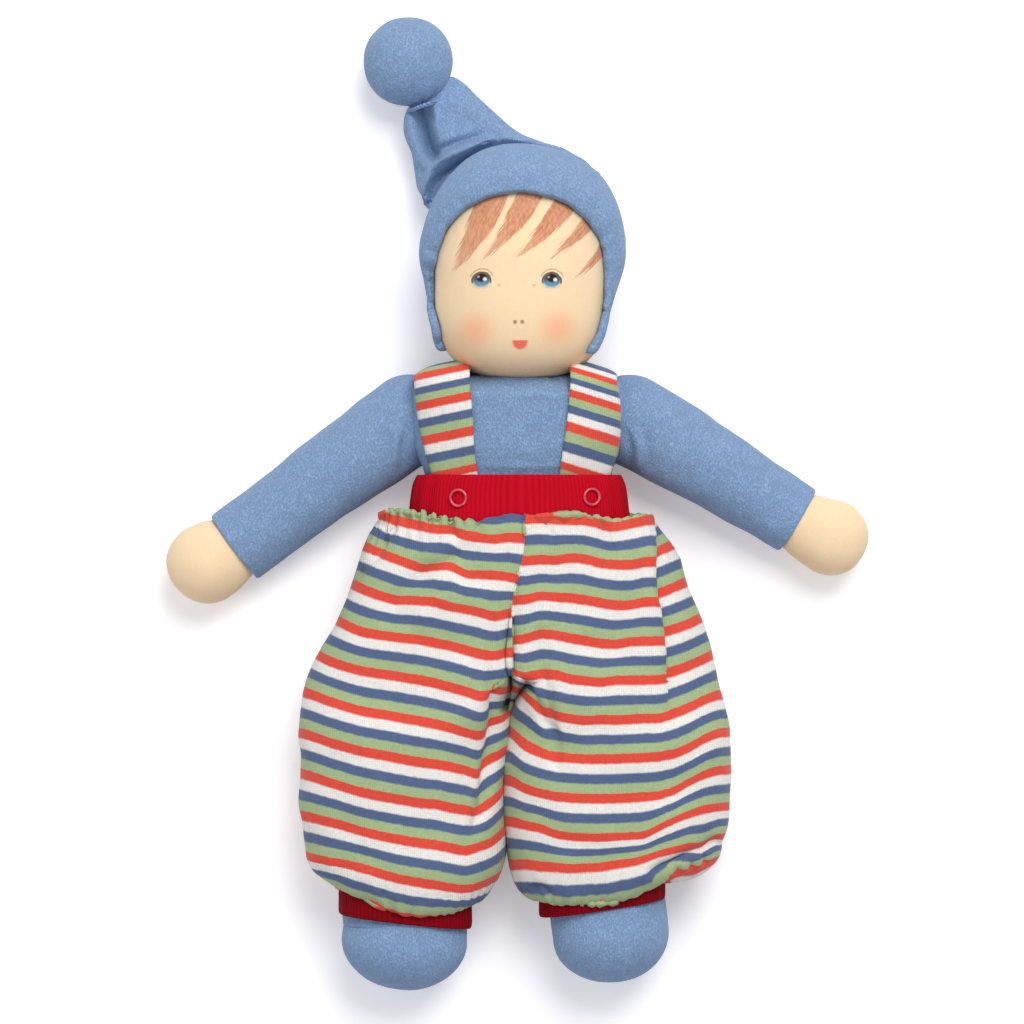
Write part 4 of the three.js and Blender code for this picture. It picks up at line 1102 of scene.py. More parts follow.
SLEEVE_FOLDS = {
    "right": (
        (((-43.7, 31.0), (-46.1, 23.0), (-45.7, 13.0)), 1.5, 1.8),
        (((-46.5, 29.8), (-48.9, 21.8), (-48.5, 13.8)), -0.9, 1.8),
        (((-50.5, 36.2), (-52.9, 28.2), (-52.1, 16.2)), 1.2, 2.2),
        (((-44.9, 40.2), (-48.1, 45.0), (-49.7, 49.8)), 0.6, 2.5),
    ),
    "left": (
        (((43.1, 29.0), (45.1, 21.0), (44.7, 13.0)), 1.5, 1.8),
        (((45.9, 29.0), (47.9, 21.8), (47.9, 13.8)), -0.9, 1.8),
        (((49.1, 31.0), (51.1, 23.0), (51.5, 13.0)), 1.2, 2.2),
    ),
}


# How far down each panel the middle of each red stripe lies, at columns across the panel
RIGHT_STRIPES = (
    (-86.1, -74.3, -62.5, -50.6, -38.8, -32.9, -27.0, -21.0, -15.1, -9.2, -3.3, 3.0),
    (
        (2.9, 0.9, -2.3, -6.6, -9.2, -10.7, -11.1, -12.9, -14.1, -14.7, -13.9, -14.3),
        (-9.0, -12.1, -16.9, -21.6, -25.5, -25.5, -25.5, -28.5, -28.5, -28.7, -29.7, -31.1),
        (-23.6, -28.7, -34.2, -38.2, -39.0, -39.4, -40.9, -41.9, -43.3, -44.9, -43.7, -44.1),
        (-40.9, -46.1, -51.2, -53.0, -54.3, -55.5, -56.7, -58.3, -59.9, -60.7, -59.1, -59.1),
        (-58.7, -63.4, -66.6, -68.3, -70.1, -71.3, -72.9, -74.5, -76.4, -75.6, -74.9, -74.1),
        (-75.6, -79.0, -82.4, -84.3, -86.3, -87.5, -88.9, -90.8, -92.0, -87.9, -83.5, -78.8),
        (-92.0, -95.2, -98.1, -100.3, -102.5, -103.3, -104.4, -105.8, -107.4, -101.7, -97.0, -91.8),
        (-108.2, -111.0, -114.3, -116.7, -118.7, -119.2, -120.6, -121.6, -122.4, -117.5, -110.8, -103.7),
        (-124.6, -126.7, -129.9, -132.5, -134.4, -135.2, -136.4, -137.6, -136.0, -133.6, -127.7, -121.4),
        (-141.1, -142.5, -144.5, -147.8, -150.0, -151.0, -152.4, -153.2, -152.2, -149.6, -144.3, -139.2),
        (-151.4, -153.8, -159.3, -162.8, -164.8, -165.2, -165.2, -165.2, -164.0, -161.3, -156.1, -150.6),
    ),
)
LEFT_STRIPES = (
    (-3.3, 2.6, 8.5, 14.5, 20.4, 26.3, 32.2, 38.1, 44.1, 50.0, 55.9, 61.8),
    (
        (-6.6, -6.6, -6.4, -6.8, -7.2, -7.4, -8.6, -9.8, -8.6, -7.4, -7.0, -6.6),
        (-23.2, -23.2, -22.8, -23.0, -22.0, -22.4, -24.0, -24.6, -24.8, -23.8, -23.6, -23.2),
        (-38.6, -38.4, -37.0, -37.4, -37.8, -38.6, -39.7, -40.7, -40.7, -39.5, -39.9, -40.1),
        (-54.7, -53.8, -52.0, -52.4, -53.6, -54.7, -55.7, -56.1, -55.1, -54.9, -54.9, -54.7),
        (-67.0, -68.9, -67.8, -68.0, -69.7, -70.5, -71.1, -70.3, -70.3, -70.3, -70.1, -69.3),
        (-71.7, -75.3, -82.4, -84.3, -85.5, -86.1, -85.7, -85.9, -85.7, -85.3, -85.3, -83.5),
        (-91.0, -96.2, -98.9, -100.5, -100.9, -101.3, -101.3, -101.1, -100.9, -100.7, -100.3, -99.3),
        (-110.8, -113.5, -115.1, -116.1, -116.7, -116.9, -116.9, -116.9, -116.7, -116.3, -115.9, -114.1),
        (-126.9, -127.9, -128.9, -131.1, -132.1, -132.3, -132.5, -132.3, -132.1, -131.5, -128.3, -125.4),
        (-144.5, -143.5, -143.9, -143.9, -144.3, -144.1, -143.7, -142.7, -141.9, -140.5, -138.6, -137.2),
        (-163.2, -162.8, -162.8, -162.8, -162.8, -162.8, -162.8, -161.7, -159.7, -156.9, -152.2, -147.8),
    ),
)
SIDE_STRIPES = (
    (50.0, 55.9, 61.8, 67.7, 73.6, 79.6),
    (
        (-5.4, -3.1, -0.7, 1.7, 4.0, 6.0),
        (-21.6, -19.2, -16.9, -14.5, -12.1, -10.2),
        (-38.6, -36.2, -33.8, -31.5, -29.1, -27.1),
        (-53.6, -52.0, -50.2, -48.2, -45.7, -43.7),
        (-69.3, -68.2, -66.8, -64.8, -62.4, -60.3),
        (-85.3, -85.3, -83.5, -81.2, -78.6, -76.8),
        (-100.7, -100.3, -99.3, -96.8, -93.6, -91.6),
        (-116.3, -115.9, -114.1, -110.8, -107.8, -106.4),
        (-131.5, -128.3, -125.4, -123.2, -121.6, -121.2),
        (-140.5, -138.6, -137.2, -136.0, -136.4, -133.2),
        (-156.9, -152.2, -147.1, -146.3, -144.3, -141.9),
    ),
)
# The left half's side seam in plan, and the height of one repeat of the stripes
SIDE_SEAM = (
    (53.5, -1.1), (54.3, -9.4), (54.9, -30.7), (56.3, -38.6), (57.9, -50.0), (59.0, -62.2), (59.6, -78.0), (59.4, -91.8)
)
REPEAT = 15.8


class StripeCourses:
    """Counts the stripes' repeats over a panel, from the places of its red stripes."""

    def __init__(self, columns, rows):
        above = tuple(height + REPEAT for height in rows[0])
        below = tuple(height - REPEAT for height in rows[-1])
        self.columns = columns
        self.rows = (above, *rows, below)
        self.known = {}

    def count(self, x, y):
        spot = round(x, 2)
        if spot not in self.known:
            self.known[spot] = [level_at(tuple(zip(self.columns, row)), spot) for row in self.rows]
        heights = self.known[spot]
        index = 0
        while index < len(heights) - 2 and heights[index + 1] > y:
            index += 1
        # Red is the first quarter of a repeat, and its middle is what the tables give
        middle_of_red = 0.125
        return index + (heights[index] - y) / (heights[index] - heights[index + 1]) + middle_of_red


def turned_in(v, z):
    """The repeats that the hem's turned-in cloth carries past the ones that are seen from above.

    It begins earlier in the grid's rows where the cloth lies low.
    """
    repeats_per_grid = 9.0
    start = mix(0.85, 0.97, ease(24.0, 36.0, z))
    return repeats_per_grid * max(v - start, 0.0)


def side_seam(y):
    return level_at([(row_y, row_x) for row_x, row_y in SIDE_SEAM], y)


def gather_depth(half, waist, hem):
    """Little pleats where the cloth is drawn in, so deep at the waist and so deep at the hem."""

    def ridge(place, pleats, seed):
        leg_middle = half["out"] * 30
        angle = math.atan2(place.z - TROUSER_MIDDLE, place.x - leg_middle)
        swing = noise.noise(Vector((angle * 2.2, seed, 0.0))) * 3
        return math.sin(angle * pleats + swing)

    def depth(place, normal):
        near_waist = (1 - ease(-5.0, -24.0, place.y)) * mix(0.3, 1.0, ease(-7.2, -30.9, place.x))
        near_hem = ease(half["end"] - 8, half["end"] - 19, place.y)
        near_hem *= 1 + 4.5 * ease(half["bunch"] - 3, half["bunch"] + 5, place.x)
        at_waist = waist * near_waist * ridge(place, pleats=34, seed=1.7)
        return at_waist + hem * near_hem * ridge(place, pleats=26, seed=4.2)

    return depth


# Stations of the stuffed limbs, from the body outwards
SLEEVES = {
    "right": (
        (-43.3, 33.56, 19.0, 18.2, 17.4, 0.3),
        (-60.0, 21.5, 18.2, 17.6, 17.2, 0.3),
        (-80.0, 7.4, 16.6, 16.4, 16.4, 0.3),
        (-100.0, -7.6, 15.9, 15.8, 15.6, 0.3),
        (-113.3, -17.44, 15.6, 15.6, 15.3, 0.3),
    ),
    "left": (
        (43.7, 33.56, 19.0, 18.2, 17.4, 0.3),
        (60.0, 24.8, 18.0, 17.8, 17.2, 0.3),
        (80.0, 12.8, 16.2, 16.2, 16.0, 0.3),
        (97.0, 2.2, 15.0, 15.0, 14.8, 0.3),
        (111.5, -6.64, 14.4, 14.4, 14.2, 0.3),
    ),
}
HANDS = {
    "right": (
        (-105.6, -11.8, 16.0, 10.4, 10.4, 0.3),
        (-113.3, -17.44, 16.0, 12.9, 12.9, 0.3),
        (-119.0, -21.0, 16.2, 15.4, 15.2, 0.3),
        (-125.0, -24.2, 16.4, 16.3, 16.2, 0.3),
    ),
    "left": (
        (103.6, -2.0, 15.2, 9.8, 9.8, 0.3),
        (111.5, -6.64, 15.2, 12.0, 12.0, 0.3),
        (117.6, -10.2, 15.3, 14.0, 14.0, 0.3),
        (125.2, -13.9, 15.4, 15.4, 15.2, 0.3),
    ),
}
LEGS = {
    "right": (
        (-24.8, -68.64, 22.5, 17.0, 17.0, 4.0),
        (-35.0, -112.6, 22.5, 19.0, 18.5, 4.0),
        (-45.1, -156.2, 22.5, 24.0, 18.5, 4.0),
        (-45.1, -169.0, 22.5, 24.8, 19.4, 3.0),
        (-45.6, -176.0, 22.5, 25.3, 22.0, 0.3),
    ),
    "left": (
        (22.2, -68.64, 22.5, 17.0, 17.0, 4.0),
        (28.8, -112.6, 22.5, 19.0, 18.5, 4.0),
        (34.6, -148.0, 22.5, 22.4, 18.5, 4.0),
        (35.8, -162.0, 22.5, 23.2, 19.4, 3.0),
        (37.1, -173.2, 22.5, 23.4, 22.0, 0.3),
    ),
}


def sleeve_point(stations):
    """A stuffed sleeve from its round shoulder to a hem rolled in at the wrist."""
    tube = SoftTube(stations, start=17.4)
    hem_share, roll_radius, tuck = 0.94, 1.2, 5

    def place(around, along):
        if along < hem_share:
            return tube.point(around, along / hem_share)
        roll = (along - hem_share) / (1 - hem_share) * math.pi
        ring = tube.point(around, 1.0)
        centre = tube.ring(1.0)[0]
        outward = (centre - tube.ring(0.97)[0]).normalized()
        inward = (centre - ring).normalized()
        tucked = max(roll - math.pi / 2, 0.0) / (math.pi / 2)
        turned = inward * roll_radius * (1 - math.cos(roll))
        return ring + turned + outward * (roll_radius * math.sin(roll) - tuck * tucked)

    return place


# The waistband: its half width at each height, and its section as (lift, height) rows
BAND_WIDTHS = ((-9.6, 36.6), (-3.0, 35.2), (7.0, 33.9), (11.0, 32.8))
WAISTBAND_ROWS = (
    (8.0, -9.6), (8.4, -7.0), (8.7, -2.0), (8.8, 3.0), (8.6, 7.6), (8.2, 10.2), (7.6, 11.0), (7.0, 10.6), (6.9, 8.0),
    (6.9, 0.0), (6.9, -8.0), (7.3, -9.8), (8.0, -9.6),
)
# The ankle cuffs' section, as (lift, height over the lower edge) rows
CUFF_ROWS = (
    (2.2, 20), (2.4, 12), (2.5, 5), (2.5, 1.2), (2.1, -0.2), (1.5, -0.1), (1.2, 1.5), (1.1, 8), (1.1, 19), (2.2, 20)
)
# Outer and inner edge of each strap, in plan, from the shoulder to the waistband
STRAPS = {
    "right": (
        ((-41.0, 53.8), (-41.3, 47.4), (-40.8, 40.3), (-39.2, 29.3), (-36.4, 17.1), (-34.5, 10.4), (-33.7, 4.8)),
        ((-20.6, 53.8), (-19.1, 46.3), (-18.0, 34.0), (-17.4, 20.6), (-16.1, 11.1), (-15.9, 4.8)),
    ),
    "left": (
        ((38.1, 53.8), (38.9, 48.6), (40.5, 40.3), (40.9, 31.7), (40.0, 20.6), (37.0, 10.8), (35.4, 4.8)),
        ((21.2, 53.8), (20.8, 51.4), (19.1, 31.7), (16.4, 11.1), (15.7, 4.8)),
    ),
}
# The heights at which the repeats of each strap's stripes begin, down its middle
STRAP_COURSES = {
    "right": (59.7, 53.0, 41.4, 27.6, 12.5, -1.1),
    "left": (59.3, 51.2, 42.0, 29.1, 12.5, -1.1),
}

# The stage: half the floor's width in millimetres, its glow and the world's light, then in metres each lamp's place,
# with its power and its width, and what the lamps point at
FLOOR_REACH = 3.0 / MM
FLOOR_GLOW = 0.24
WORLD_STRENGTH = 0.46
LAMPS = (
    ("key lamp", (0.4, 1.05, 1.7), 31.0, 1.1),
    ("fill lamp", (-1.2, -0.3, 1.8), 8.0, 1.8),
)
LAMP_AIM = (0, 0, 0.02)
# The camera looks straight down, and shows PICTURE_WIDTH at the height PICTURE_LEVEL; its sensor is in millimetres
CAMERA_PLACE = (-0.0025, -0.0038, 2.0)
PICTURE_LEVEL, PICTURE_WIDTH, SENSOR = 0.025, 0.4096, 36


# Sizes and colours that a user would change


def length_property(label, description, millimetres):
    return FloatProperty(name=label, description=description, default=millimetres * MM, unit="LENGTH")


def colour_property(label, description, colour):
    return FloatVectorProperty(
        name=label, description=description, subtype="COLOR", size=3, min=0.0, max=1.0, default=linear(colour)
    )


class DollSizes(PropertyGroup):
    velour: length_property("Velour thickness", "How thick the blue cloth is", 1.2)
    jersey: length_property("Jersey thickness", "How thick the striped cloth is", 0.9)
    gathers: length_property("Gather depth", "How deep the trousers' little pleats are", 1.1)


class DollColours(PropertyGroup):
    velour: colour_property("Velour", "Body, hood and ball", "#83a0c6")
    skin: colour_property("Skin tricot", "Face and hands", "#f5dab4")
    cheek: colour_property("Cheeks", "Printed blush", "#f7a676")
    hair: colour_property("Hair", "Printed strands", "#c06d48")
    iris: colour_property("Eyes", "Printed irises", "#3f5f74")
    mouth: colour_property("Mouth", "Printed mouth", "#ee6a55")
    rib: colour_property("Rib", "Waistband and ankle cuffs", "#bf0720")
    red: colour_property("Red stripe", "First stripe of the repeat", "#e04e3e")
    white: colour_property("White stripe", "Second stripe of the repeat", "#ebe8e3")
    blue: colour_property("Blue stripe", "Third stripe of the repeat", "#55678b")
    green: colour_property("Green stripe", "Fourth stripe of the repeat", "#a4b889")
    steel: colour_property("Press studs", "Bare metal of the studs", "#d9c3bc")
    ring: colour_property("Stud rings", "Lacquer on the studs' front rings", "#c42c40")


def size(label):
    """A size of the panel, in millimetres."""
    return getattr(bpy.context.scene.doll_sizes, label) / MM


def colour(label):
    return tuple(getattr(bpy.context.scene.doll_colours, label))


# The materials, by the names that the operators call them
FINISHES = {}


def finish(label):
    """The material of that name; all are made at the first call."""
    if not FINISHES:
        velour, skin, rib, steel, ring = (colour(name) for name in ("velour", "skin", "rib", "steel", "ring"))
        stripes = [colour(name) for name in ("red", "white", "blue", "green")]
        face = {
            **{name: colour(name) for name in ("skin", "cheek", "hair", "iris", "mouth")},
            "iris_pale": linear("#6da3bb"), "lash": linear("#3a3233"), "pupil": linear("#30211f"),
            # The jaw colour is painted shade: the warm dark of the skin under the chin
            "crease": linear("#a8663f"), "nostril": linear("#8a6a4e"), "jaw": linear("#d88f5c"),
            "shine": (0.93, 0.95, 0.97), "glint": (0.75, 0.8, 0.85),
        }
        FINISHES.update({
            "velour": velour_material("blue velour", velour),
            "sleeve velour": velour_material("blue velour, sleeves", velour, 0.3),
            "face": face_material("skin tricot with printed face", face),
            "skin": tricot_material("skin tricot", skin),
            "stripes": striped_material("striped jersey", stripes),
            "left strap stripes": striped_material("striped jersey, turned", [stripes[i] for i in (2, 1, 0, 3)]),
            "waist rib": rib_material("red rib, waistband", rib, 150.0),
            # Painted shade: the cuffs take the waistband's rib red, darkened for the shade they lie in
            "cuff rib": rib_material("red rib, cuffs", tinted(rib, 0.42), 84.0),
            "wool": wool_material("wool stuffing", linear("#efe8d8")),
            "thread": thread_material("cotton thread", linear("#e9e2d4")),
            "blue thread": thread_material("blue cotton thread", velour),
            "steel": stud_material("snap steel", 900.0, (0.35, 0.65), 0.22, tinted(steel, 0.75), steel, Metallic=1.0),
            # The rings' paler pink patches are painted highlights on the red lacquer
            "red lacquer": stud_material(
                "red lacquered snap ring", 700.0, (0.4, 0.75), 0.2, ring, tinted(ring, 1.25, 0.06),
                Specular_IOR_Level=0.6, Coat_Weight=0.5,
            ),
        })
    return FINISHES[label]


def dress(piece, body, slot, *nodes):
    """Ties a piece to its body and the solids that it stands for; its material slot is not used.

    A body is a name, or two names and two places in millimetres, which are not used: such a piece stays where it is,
    tied to neither body.
    """
    if isinstance(body, str):
        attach(piece, body)
    else:
        tuple(v * MM for v in body[2])
        tuple(v * MM for v in body[3])
        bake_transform(piece)
    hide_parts(*nodes)


# Operators, one for each piece or group of like pieces


class DOLL_OT_head(Operator):
    """Make the tricot head with its printed face and hair"""

    bl_idname = "doll.head"
    bl_label = "Head"

    def execute(self, context):
        bm = lay_grid(96, 84, head_point)
        lumps(bm, height=0.35, spacing=16.0, seed=1)
        head = make_piece("head_face", bm, finish("face"), levels=1)
        dress(head, "head", "skin", "head_skin")
        return {"FINISHED"}


class DOLL_OT_hood(Operator):
    """Make the velour hood with its soft rolled brim"""

    bl_idname = "doll.hood"
    bl_label = "Hood"

    def execute(self, context):
        bm = lay_grid(260, 56, hood_point)
        lumps(bm, height=0.5, spacing=13.0, seed=2)
        hood = make_piece("velour_hood", bm, finish("velour"), size("velour"))
        dress(hood, "head", "velour", "hood")
        return {"FINISHED"}


class DOLL_OT_hat_tip(Operator):
    """Make the hat's limp folded tip and the stuffed ball tied into its end"""

    bl_idname = "doll.hat_tip"
    bl_label = "Hat tip and ball"

    def execute(self, context):
        bm = lay_grid(230, 165, hat_point)
        for line, depth, width, fade in HAT_FOLDS:
            fold(bm, line, depth, width, fade, sink=True)
        lumps(bm, height=0.7, spacing=9.0, seed=3)
        tip = make_piece("velour_hat_tip", bm, finish("velour"), size("velour"))
        dress(tip, ("head", "hat_tip", (0, 122, 18), (-12, 143, 18)), "velour", "hat_tip")

        bm = lay_grid(72, 40, ball_point)
        lumps(bm, height=0.5, spacing=12.0, seed=4)
        ball = make_piece("velour_ball", bm, finish("velour"), levels=1)
        dress(ball, "hat_ball", "velour", "hat_ball_cover")
        return {"FINISHED"}


class DOLL_OT_torso(Operator):
    """Make the stuffed velour torso"""

    bl_idname = "doll.torso"
    bl_label = "Torso"

    def execute(self, context):
        tube = SoftTube(TORSO, start=17.2, end=6.0, power=TORSO_POWER)
        bm = lay_grid(120, 90, tube.point)
        for line, depth, width in CHEST_FOLDS:
            fold(bm, line, depth, width, fade=0.3)
        lumps(bm, height=0.4, spacing=14.0, seed=5)
        torso = make_piece("velour_torso", bm, finish("velour"), levels=1)
        dress(torso, "torso", "velour", "torso_cover")
        return {"FINISHED"}


class DOLL_OT_arms(Operator):
    """Make both stuffed sleeves and hands"""

    bl_idname = "doll.arms"
    bl_label = "Arms and hands"

    def execute(self, context):
        for side, seed in (("right", 6), ("left", 7)):
            stations = SLEEVES[side]
            bm = lay_grid(96, 84, sleeve_point(stations))
            for line, depth, width in SLEEVE_FOLDS[side]:
                fold(bm, line, depth, width, fade=0.4)
            lumps(bm, height=0.6, spacing=12.0, seed=seed)
            sleeve = make_piece(f"{side}_velour_sleeve", bm, finish("sleeve velour"), levels=1)
            pivot = Vector(stations[0][:3])
            reach = Vector(stations[2][:3]) - pivot
            ends = (tuple(pivot - reach * 0.12), tuple(pivot + reach * 0.45))
            dress(sleeve, ("torso", f"{side}_arm", *ends), "velour", f"{side}_sleeve", f"{side}_arm_stuffing")

            tube = SoftTube(HANDS[side], end=HANDS[side][-1][3])
            bm = lay_grid(72, 60, tube.point)
            lumps(bm, height=0.5, spacing=11.0, seed=seed + 10)
            hand = make_piece(f"{side}_tricot_hand", bm, finish("skin"), levels=1)
            dress(hand, f"{side}_hand", "skin", f"{side}_hand_skin")
        return {"FINISHED"}


class DOLL_OT_legs(Operator):
    """Make both stuffed velour legs with their round feet"""

    bl_idname = "doll.legs"
    bl_label = "Legs and feet"

    def execute(self, context):
        for side, seed in (("right", 8), ("left", 9)):
            tube = SoftTube(LEGS[side], start=17.0, end=19.0, power=2.15)
            bm = lay_grid(80, 90, tube.point)
            lumps(bm, height=0.5, spacing=13.0, seed=seed)
            leg = make_piece(f"{side}_velour_leg", bm, finish("velour"), levels=1)
            dress(leg, f"{side}_leg", "velour", f"{side}_leg_cover")
        return {"FINISHED"}


class DOLL_OT_trousers(Operator):
    """Make the two striped halves of the trousers, with their gathers and folds"""

    bl_idname = "doll.trousers"
    bl_label = "Trousers"

    def execute(self, context):
        right, front, outside = (StripeCourses(*panel) for panel in (RIGHT_STRIPES, LEFT_STRIPES, SIDE_STRIPES))
        seam_line = [(y, x) for x, y in SEAM]

        for side, (hip_x, hip_y) in (("right", (-24.8, -68.6)), ("left", (22.2, -68.6))):
            half = TROUSERS[side]
            out = half["out"]
            bm = lay_grid(230, 190, trouser_point(half))

            def cloth_map(u, v, place, face):
                panel = right
                if side == "left":
                    panel = outside if face.x > side_seam(place.y) else front
                return u, panel.count(place.x, place.y) + turned_in(v, place.z)

            if side == "left":
                snap_to_side_seam(bm)
            map_cloth(bm, cloth_map)
            # Between the waist and the crotch the halves make one bag, so the wall between them is left out
            open_wall = [
                face
                for face in bm.faces
                if (place := face.calc_center_median()).y > -54
                and place.z < 50
                and out * (place.x - level_at(seam_line, place.y)) < 3.5
            ]
            bmesh.ops.delete(bm, geom=open_wall, context="FACES")
            push_out(bm, gather_depth(half, waist=size("gathers"), hem=size("gathers") * 0.25))
            for row in TROUSER_FOLDS[side]:
                fold(bm, *row)
            lumps(bm, height=1.6, spacing=25.0, seed=20 + out)
            lumps(bm, height=0.5, spacing=9.0, seed=30 + out, lowest=1.05)
            trousers = make_piece(f"{side}_trousers", bm, finish("stripes"), size("jersey"))
            ends = ((hip_x, hip_y + 16, 26), (hip_x + out * 5, hip_y - 24, 26))
            nodes = (f"{side}_trouser_seat", f"{side}_trouser_leg")
            dress(trousers, ("torso", f"{side}_leg", *ends), "jersey", *nodes)
        return {"FINISHED"}


class DOLL_OT_straps(Operator):
    """Make both striped straps"""

    bl_idname = "doll.straps"
    bl_label = "Straps"

    def execute(self, context):
        for side, out, label, slope, shift in (
            ("right", -1, "stripes", 0.20, 0.0),
            ("left", 1, "left strap stripes", 0.30, 0.5),
        ):
            outer, inner = edges = STRAPS[side]
            middle = (outer[0][0] + inner[0][0]) / 2
            courses = [(height, float(count)) for count, height in enumerate(STRAP_COURSES[side])]

            def strap_map(u, v, place, face):
                course = level_at(courses, place.y + slope * out * (place.x - middle))
                return u, shift + (course if v < 0.5 else -course)

            bm = lay_grid(24, 150, strap_point(edges, out, grow=2.6, waviness=1.0))
            map_cloth(bm, strap_map)
            strap = make_piece(f"{side}_strap_jersey", bm, finish(label), thickness=1.0)
            dress(strap, "torso", "jersey", f"{side}_strap")
        return {"FINISHED"}


class DOLL_OT_rib_bands(Operator):
    """Make the rib waistband and both ankle cuffs"""

    bl_idname = "doll.rib_bands"
    bl_label = "Waistband and cuffs"

    def execute(self, context):
        place = band_point(
            WAISTBAND_ROWS, lambda y: level_at(BAND_WIDTHS, y), lambda y: torso_row(y)[2], middle=(0.3, 25.5),
            floor=8.9, pucker=0.22, puckers=17,
        )
        band = make_piece("waistband_rib", lay_grid(260, 36, place), finish("waist rib"))
        dress(band, "torso", "rib", "waistband")
        for side, x, wide, low, slant in (("right", -45.1, 24.2, -167.0, -0.11), ("left", 33.7, 22.8, -161.6, 0.152)):
            place = band_point(
                [(lift, low + height) for lift, height in CUFF_ROWS], lambda y: wide, lambda y: 18.6,
                middle=(x, 22.5), floor=4.0, slant=slant, pucker=0.15, puckers=12,
            )
            # The cuffs' darker red is painted shade
            cuff = make_piece(f"{side}_cuff_rib", lay_grid(180, 30, place), finish("cuff rib"))
            dress(cuff, f"{side}_leg", "rib", f"{side}_ankle_cuff")
        return {"FINISHED"}


class DOLL_OT_studs(Operator):
    """Make the press studs' front rings"""

    bl_idname = "doll.studs"
    bl_label = "Press stud rings"

    def execute(self, context):
        over_torso = 9.1
        for side, x, y in (("right", -23.7, 1.8), ("left", 29.1, 2.2)):
            level, west, east, south, north = (
                torso_level(x + step_x, y + step_y, over_torso)
                for step_x, step_y in ((0, 0), (-0.5, 0), (0.5, 0), (0, -0.5), (0, 0.5))
            )
            normal = Vector((west - east, south - north, 1.0)).normalized()
            # A flattened round section, spun about the ring's own axis
            bm = bmesh.new()
            verts = bmesh.ops.create_circle(bm, segments=12, radius=0.42)["verts"]
            bmesh.ops.rotate(bm, verts=verts, matrix=Matrix.Rotation(math.pi / 2, 3, "X"))
            bmesh.ops.scale(bm, verts=verts, vec=(1.2, 1.0, 0.9))
            bmesh.ops.translate(bm, verts=verts, vec=(3.15, 0, 0))
            bmesh.ops.spin(
                bm, geom=bm.edges[:] + bm.verts[:], cent=(0, 0, 0), axis=(0, 0, 1), angle=TURN, steps=56,
                use_merge=True,
            )
            bmesh.ops.remove_doubles(bm, verts=bm.verts, dist=0.001)
            bmesh.ops.recalc_face_normals(bm, faces=bm.faces)
            upright = Vector((0, 0, 1)).rotation_difference(normal).to_matrix()
            bmesh.ops.rotate(bm, verts=bm.verts, matrix=upright)
            bmesh.ops.translate(bm, verts=bm.verts, vec=Vector((x, y, level)) + normal * 0.1)
            ring = make_piece(f"{side}_stud_ring", bm, finish("red lacquer"))
            dress(ring, "torso", "steel", f"{side}_stud_front_ring")
        return {"FINISHED"}


class DOLL_OT_inside(Operator):
    """Finish the stuffing, threads and stud parts that the frame brings"""

    bl_idname = "doll.inside"
    bl_label = "Stuffing, threads and studs"

    def execute(self, context):
        # The first of these words that a node's name holds gives its material
        words = {"stuffing": "wool", "core": "wool", "hat_tie": "blue thread", "tie": "thread", "stud": "steel"}
        for name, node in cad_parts.items():
            label = next((words[word] for word in words if word in name), None)
            if label:
                node.data.materials.clear()
                node.data.materials.append(finish(label))
        return {"FINISHED"}


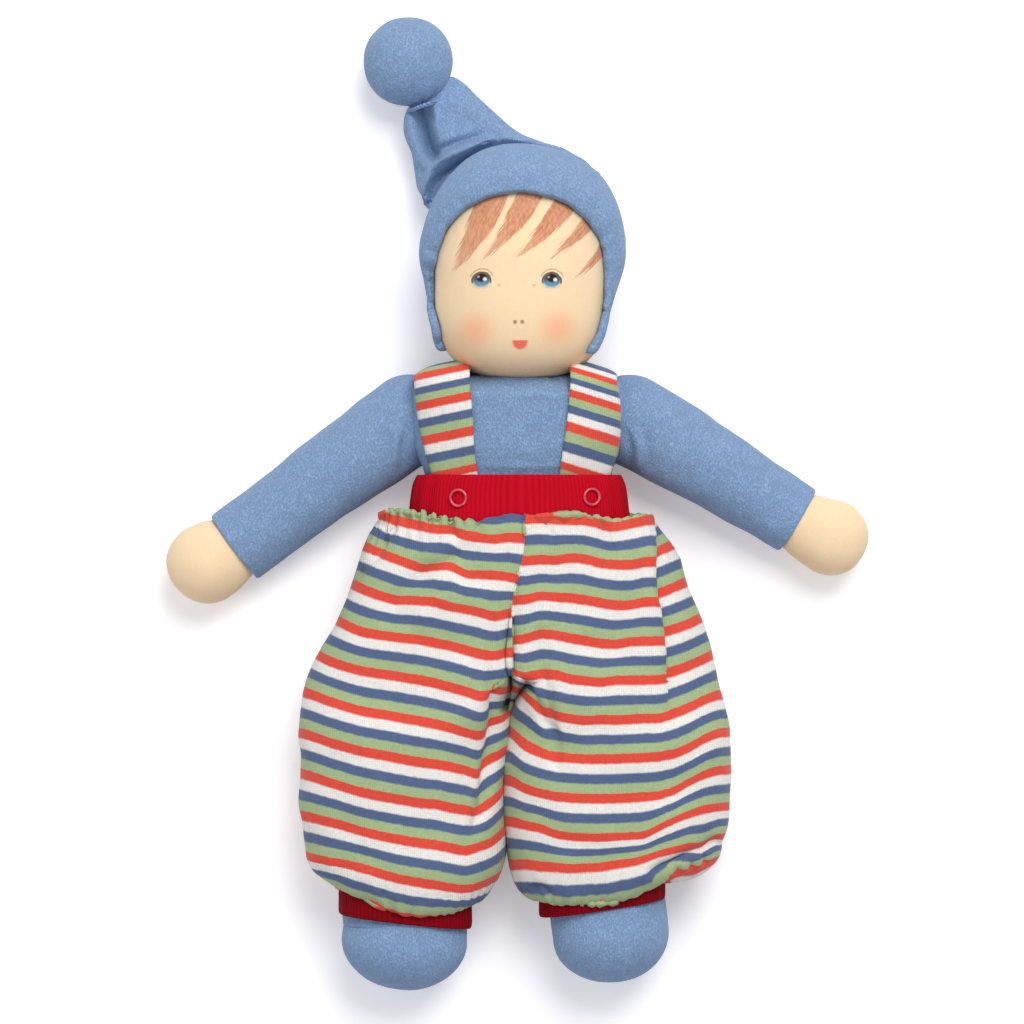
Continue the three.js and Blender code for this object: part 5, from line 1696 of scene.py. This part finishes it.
class DOLL_OT_stage(Operator):
    """Lay the pale floor, hang the soft lamps and place the camera straight above"""

    bl_idname = "doll.stage"
    bl_label = "Stage"

    def execute(self, context):
        bm = bmesh.new()
        bmesh.ops.create_grid(bm, x_segments=4, y_segments=4, size=FLOOR_REACH)
        look = Look("pale floor", 0.9)
        tree = look.tree
        # The floor glows only for the camera and for reflections, so that it casts no light
        rays = tree.nodes.new("ShaderNodeLightPath").outputs
        seen = Signal(tree, rays["Is Camera Ray"]).math("MAXIMUM", Signal(tree, rays["Is Glossy Ray"]))
        look.set(
            Base_Color=(0.93, 0.925, 0.95), Specular_IOR_Level=0.0, Emission_Color=(1.0, 1.0, 1.0),
            Emission_Strength=seen * FLOOR_GLOW,
        )
        floor = make_piece("floor", bm, look.material)

        world = bpy.data.worlds.new("studio")
        world.use_nodes = True
        backdrop = world.node_tree.nodes["Background"]
        feed_all(world.node_tree, backdrop, Color=(0.95, 0.955, 1.0), Strength=WORLD_STRENGTH)
        context.scene.world = world

        for name, place, power, width in LAMPS:
            lamp = bpy.data.lights.new(name, "AREA")
            lamp.energy = power
            lamp.size = width
            lamp.color = (1.0, 0.985, 0.96)
            holder = bpy.data.objects.new(name, lamp)
            holder.location = place
            holder.rotation_euler = (Vector(LAMP_AIM) - Vector(place)).to_track_quat("-Z", "Y").to_euler()
            context.scene.collection.objects.link(holder)

        camera = bpy.data.cameras.new("camera")
        camera.sensor_width = SENSOR
        camera.lens = SENSOR * (CAMERA_PLACE[2] - PICTURE_LEVEL) / PICTURE_WIDTH
        view = bpy.data.objects.new("camera", camera)
        view.location = CAMERA_PLACE
        context.scene.collection.objects.link(view)
        context.scene.camera = view
        context.scene.view_settings.view_transform = "Standard"
        return {"FINISHED"}


# The sidebar panel and the add-on's classes


class DOLL_PT_panel(Panel):
    bl_label = "Waldorf Doll"
    bl_idname = "DOLL_PT_panel"
    bl_space_type = "VIEW_3D"
    bl_region_type = "UI"
    bl_category = "Doll"

    def draw(self, context):
        layout = self.layout
        for group in (context.scene.doll_sizes, context.scene.doll_colours):
            for label in group.__annotations__:
                layout.prop(group, label)
        for operator in OPERATORS:
            layout.operator(operator.bl_idname)


OPERATORS = (
    DOLL_OT_head, DOLL_OT_hood, DOLL_OT_hat_tip, DOLL_OT_torso, DOLL_OT_arms, DOLL_OT_legs, DOLL_OT_trousers,
    DOLL_OT_straps, DOLL_OT_rib_bands, DOLL_OT_studs, DOLL_OT_inside, DOLL_OT_stage,
)
CLASSES = (DollSizes, DollColours, *OPERATORS, DOLL_PT_panel)


def register():
    for item in CLASSES:
        bpy.utils.register_class(item)
    bpy.types.Scene.doll_sizes = PointerProperty(type=DollSizes)
    bpy.types.Scene.doll_colours = PointerProperty(type=DollColours)


def unregister():
    del bpy.types.Scene.doll_colours
    del bpy.types.Scene.doll_sizes
    for item in reversed(CLASSES):
        bpy.utils.unregister_class(item)


def main():
    register()
    for operator in OPERATORS:
        group, name = operator.bl_idname.split(".")
        getattr(getattr(bpy.ops, group), name)()


if __name__ == "__main__":
    main()
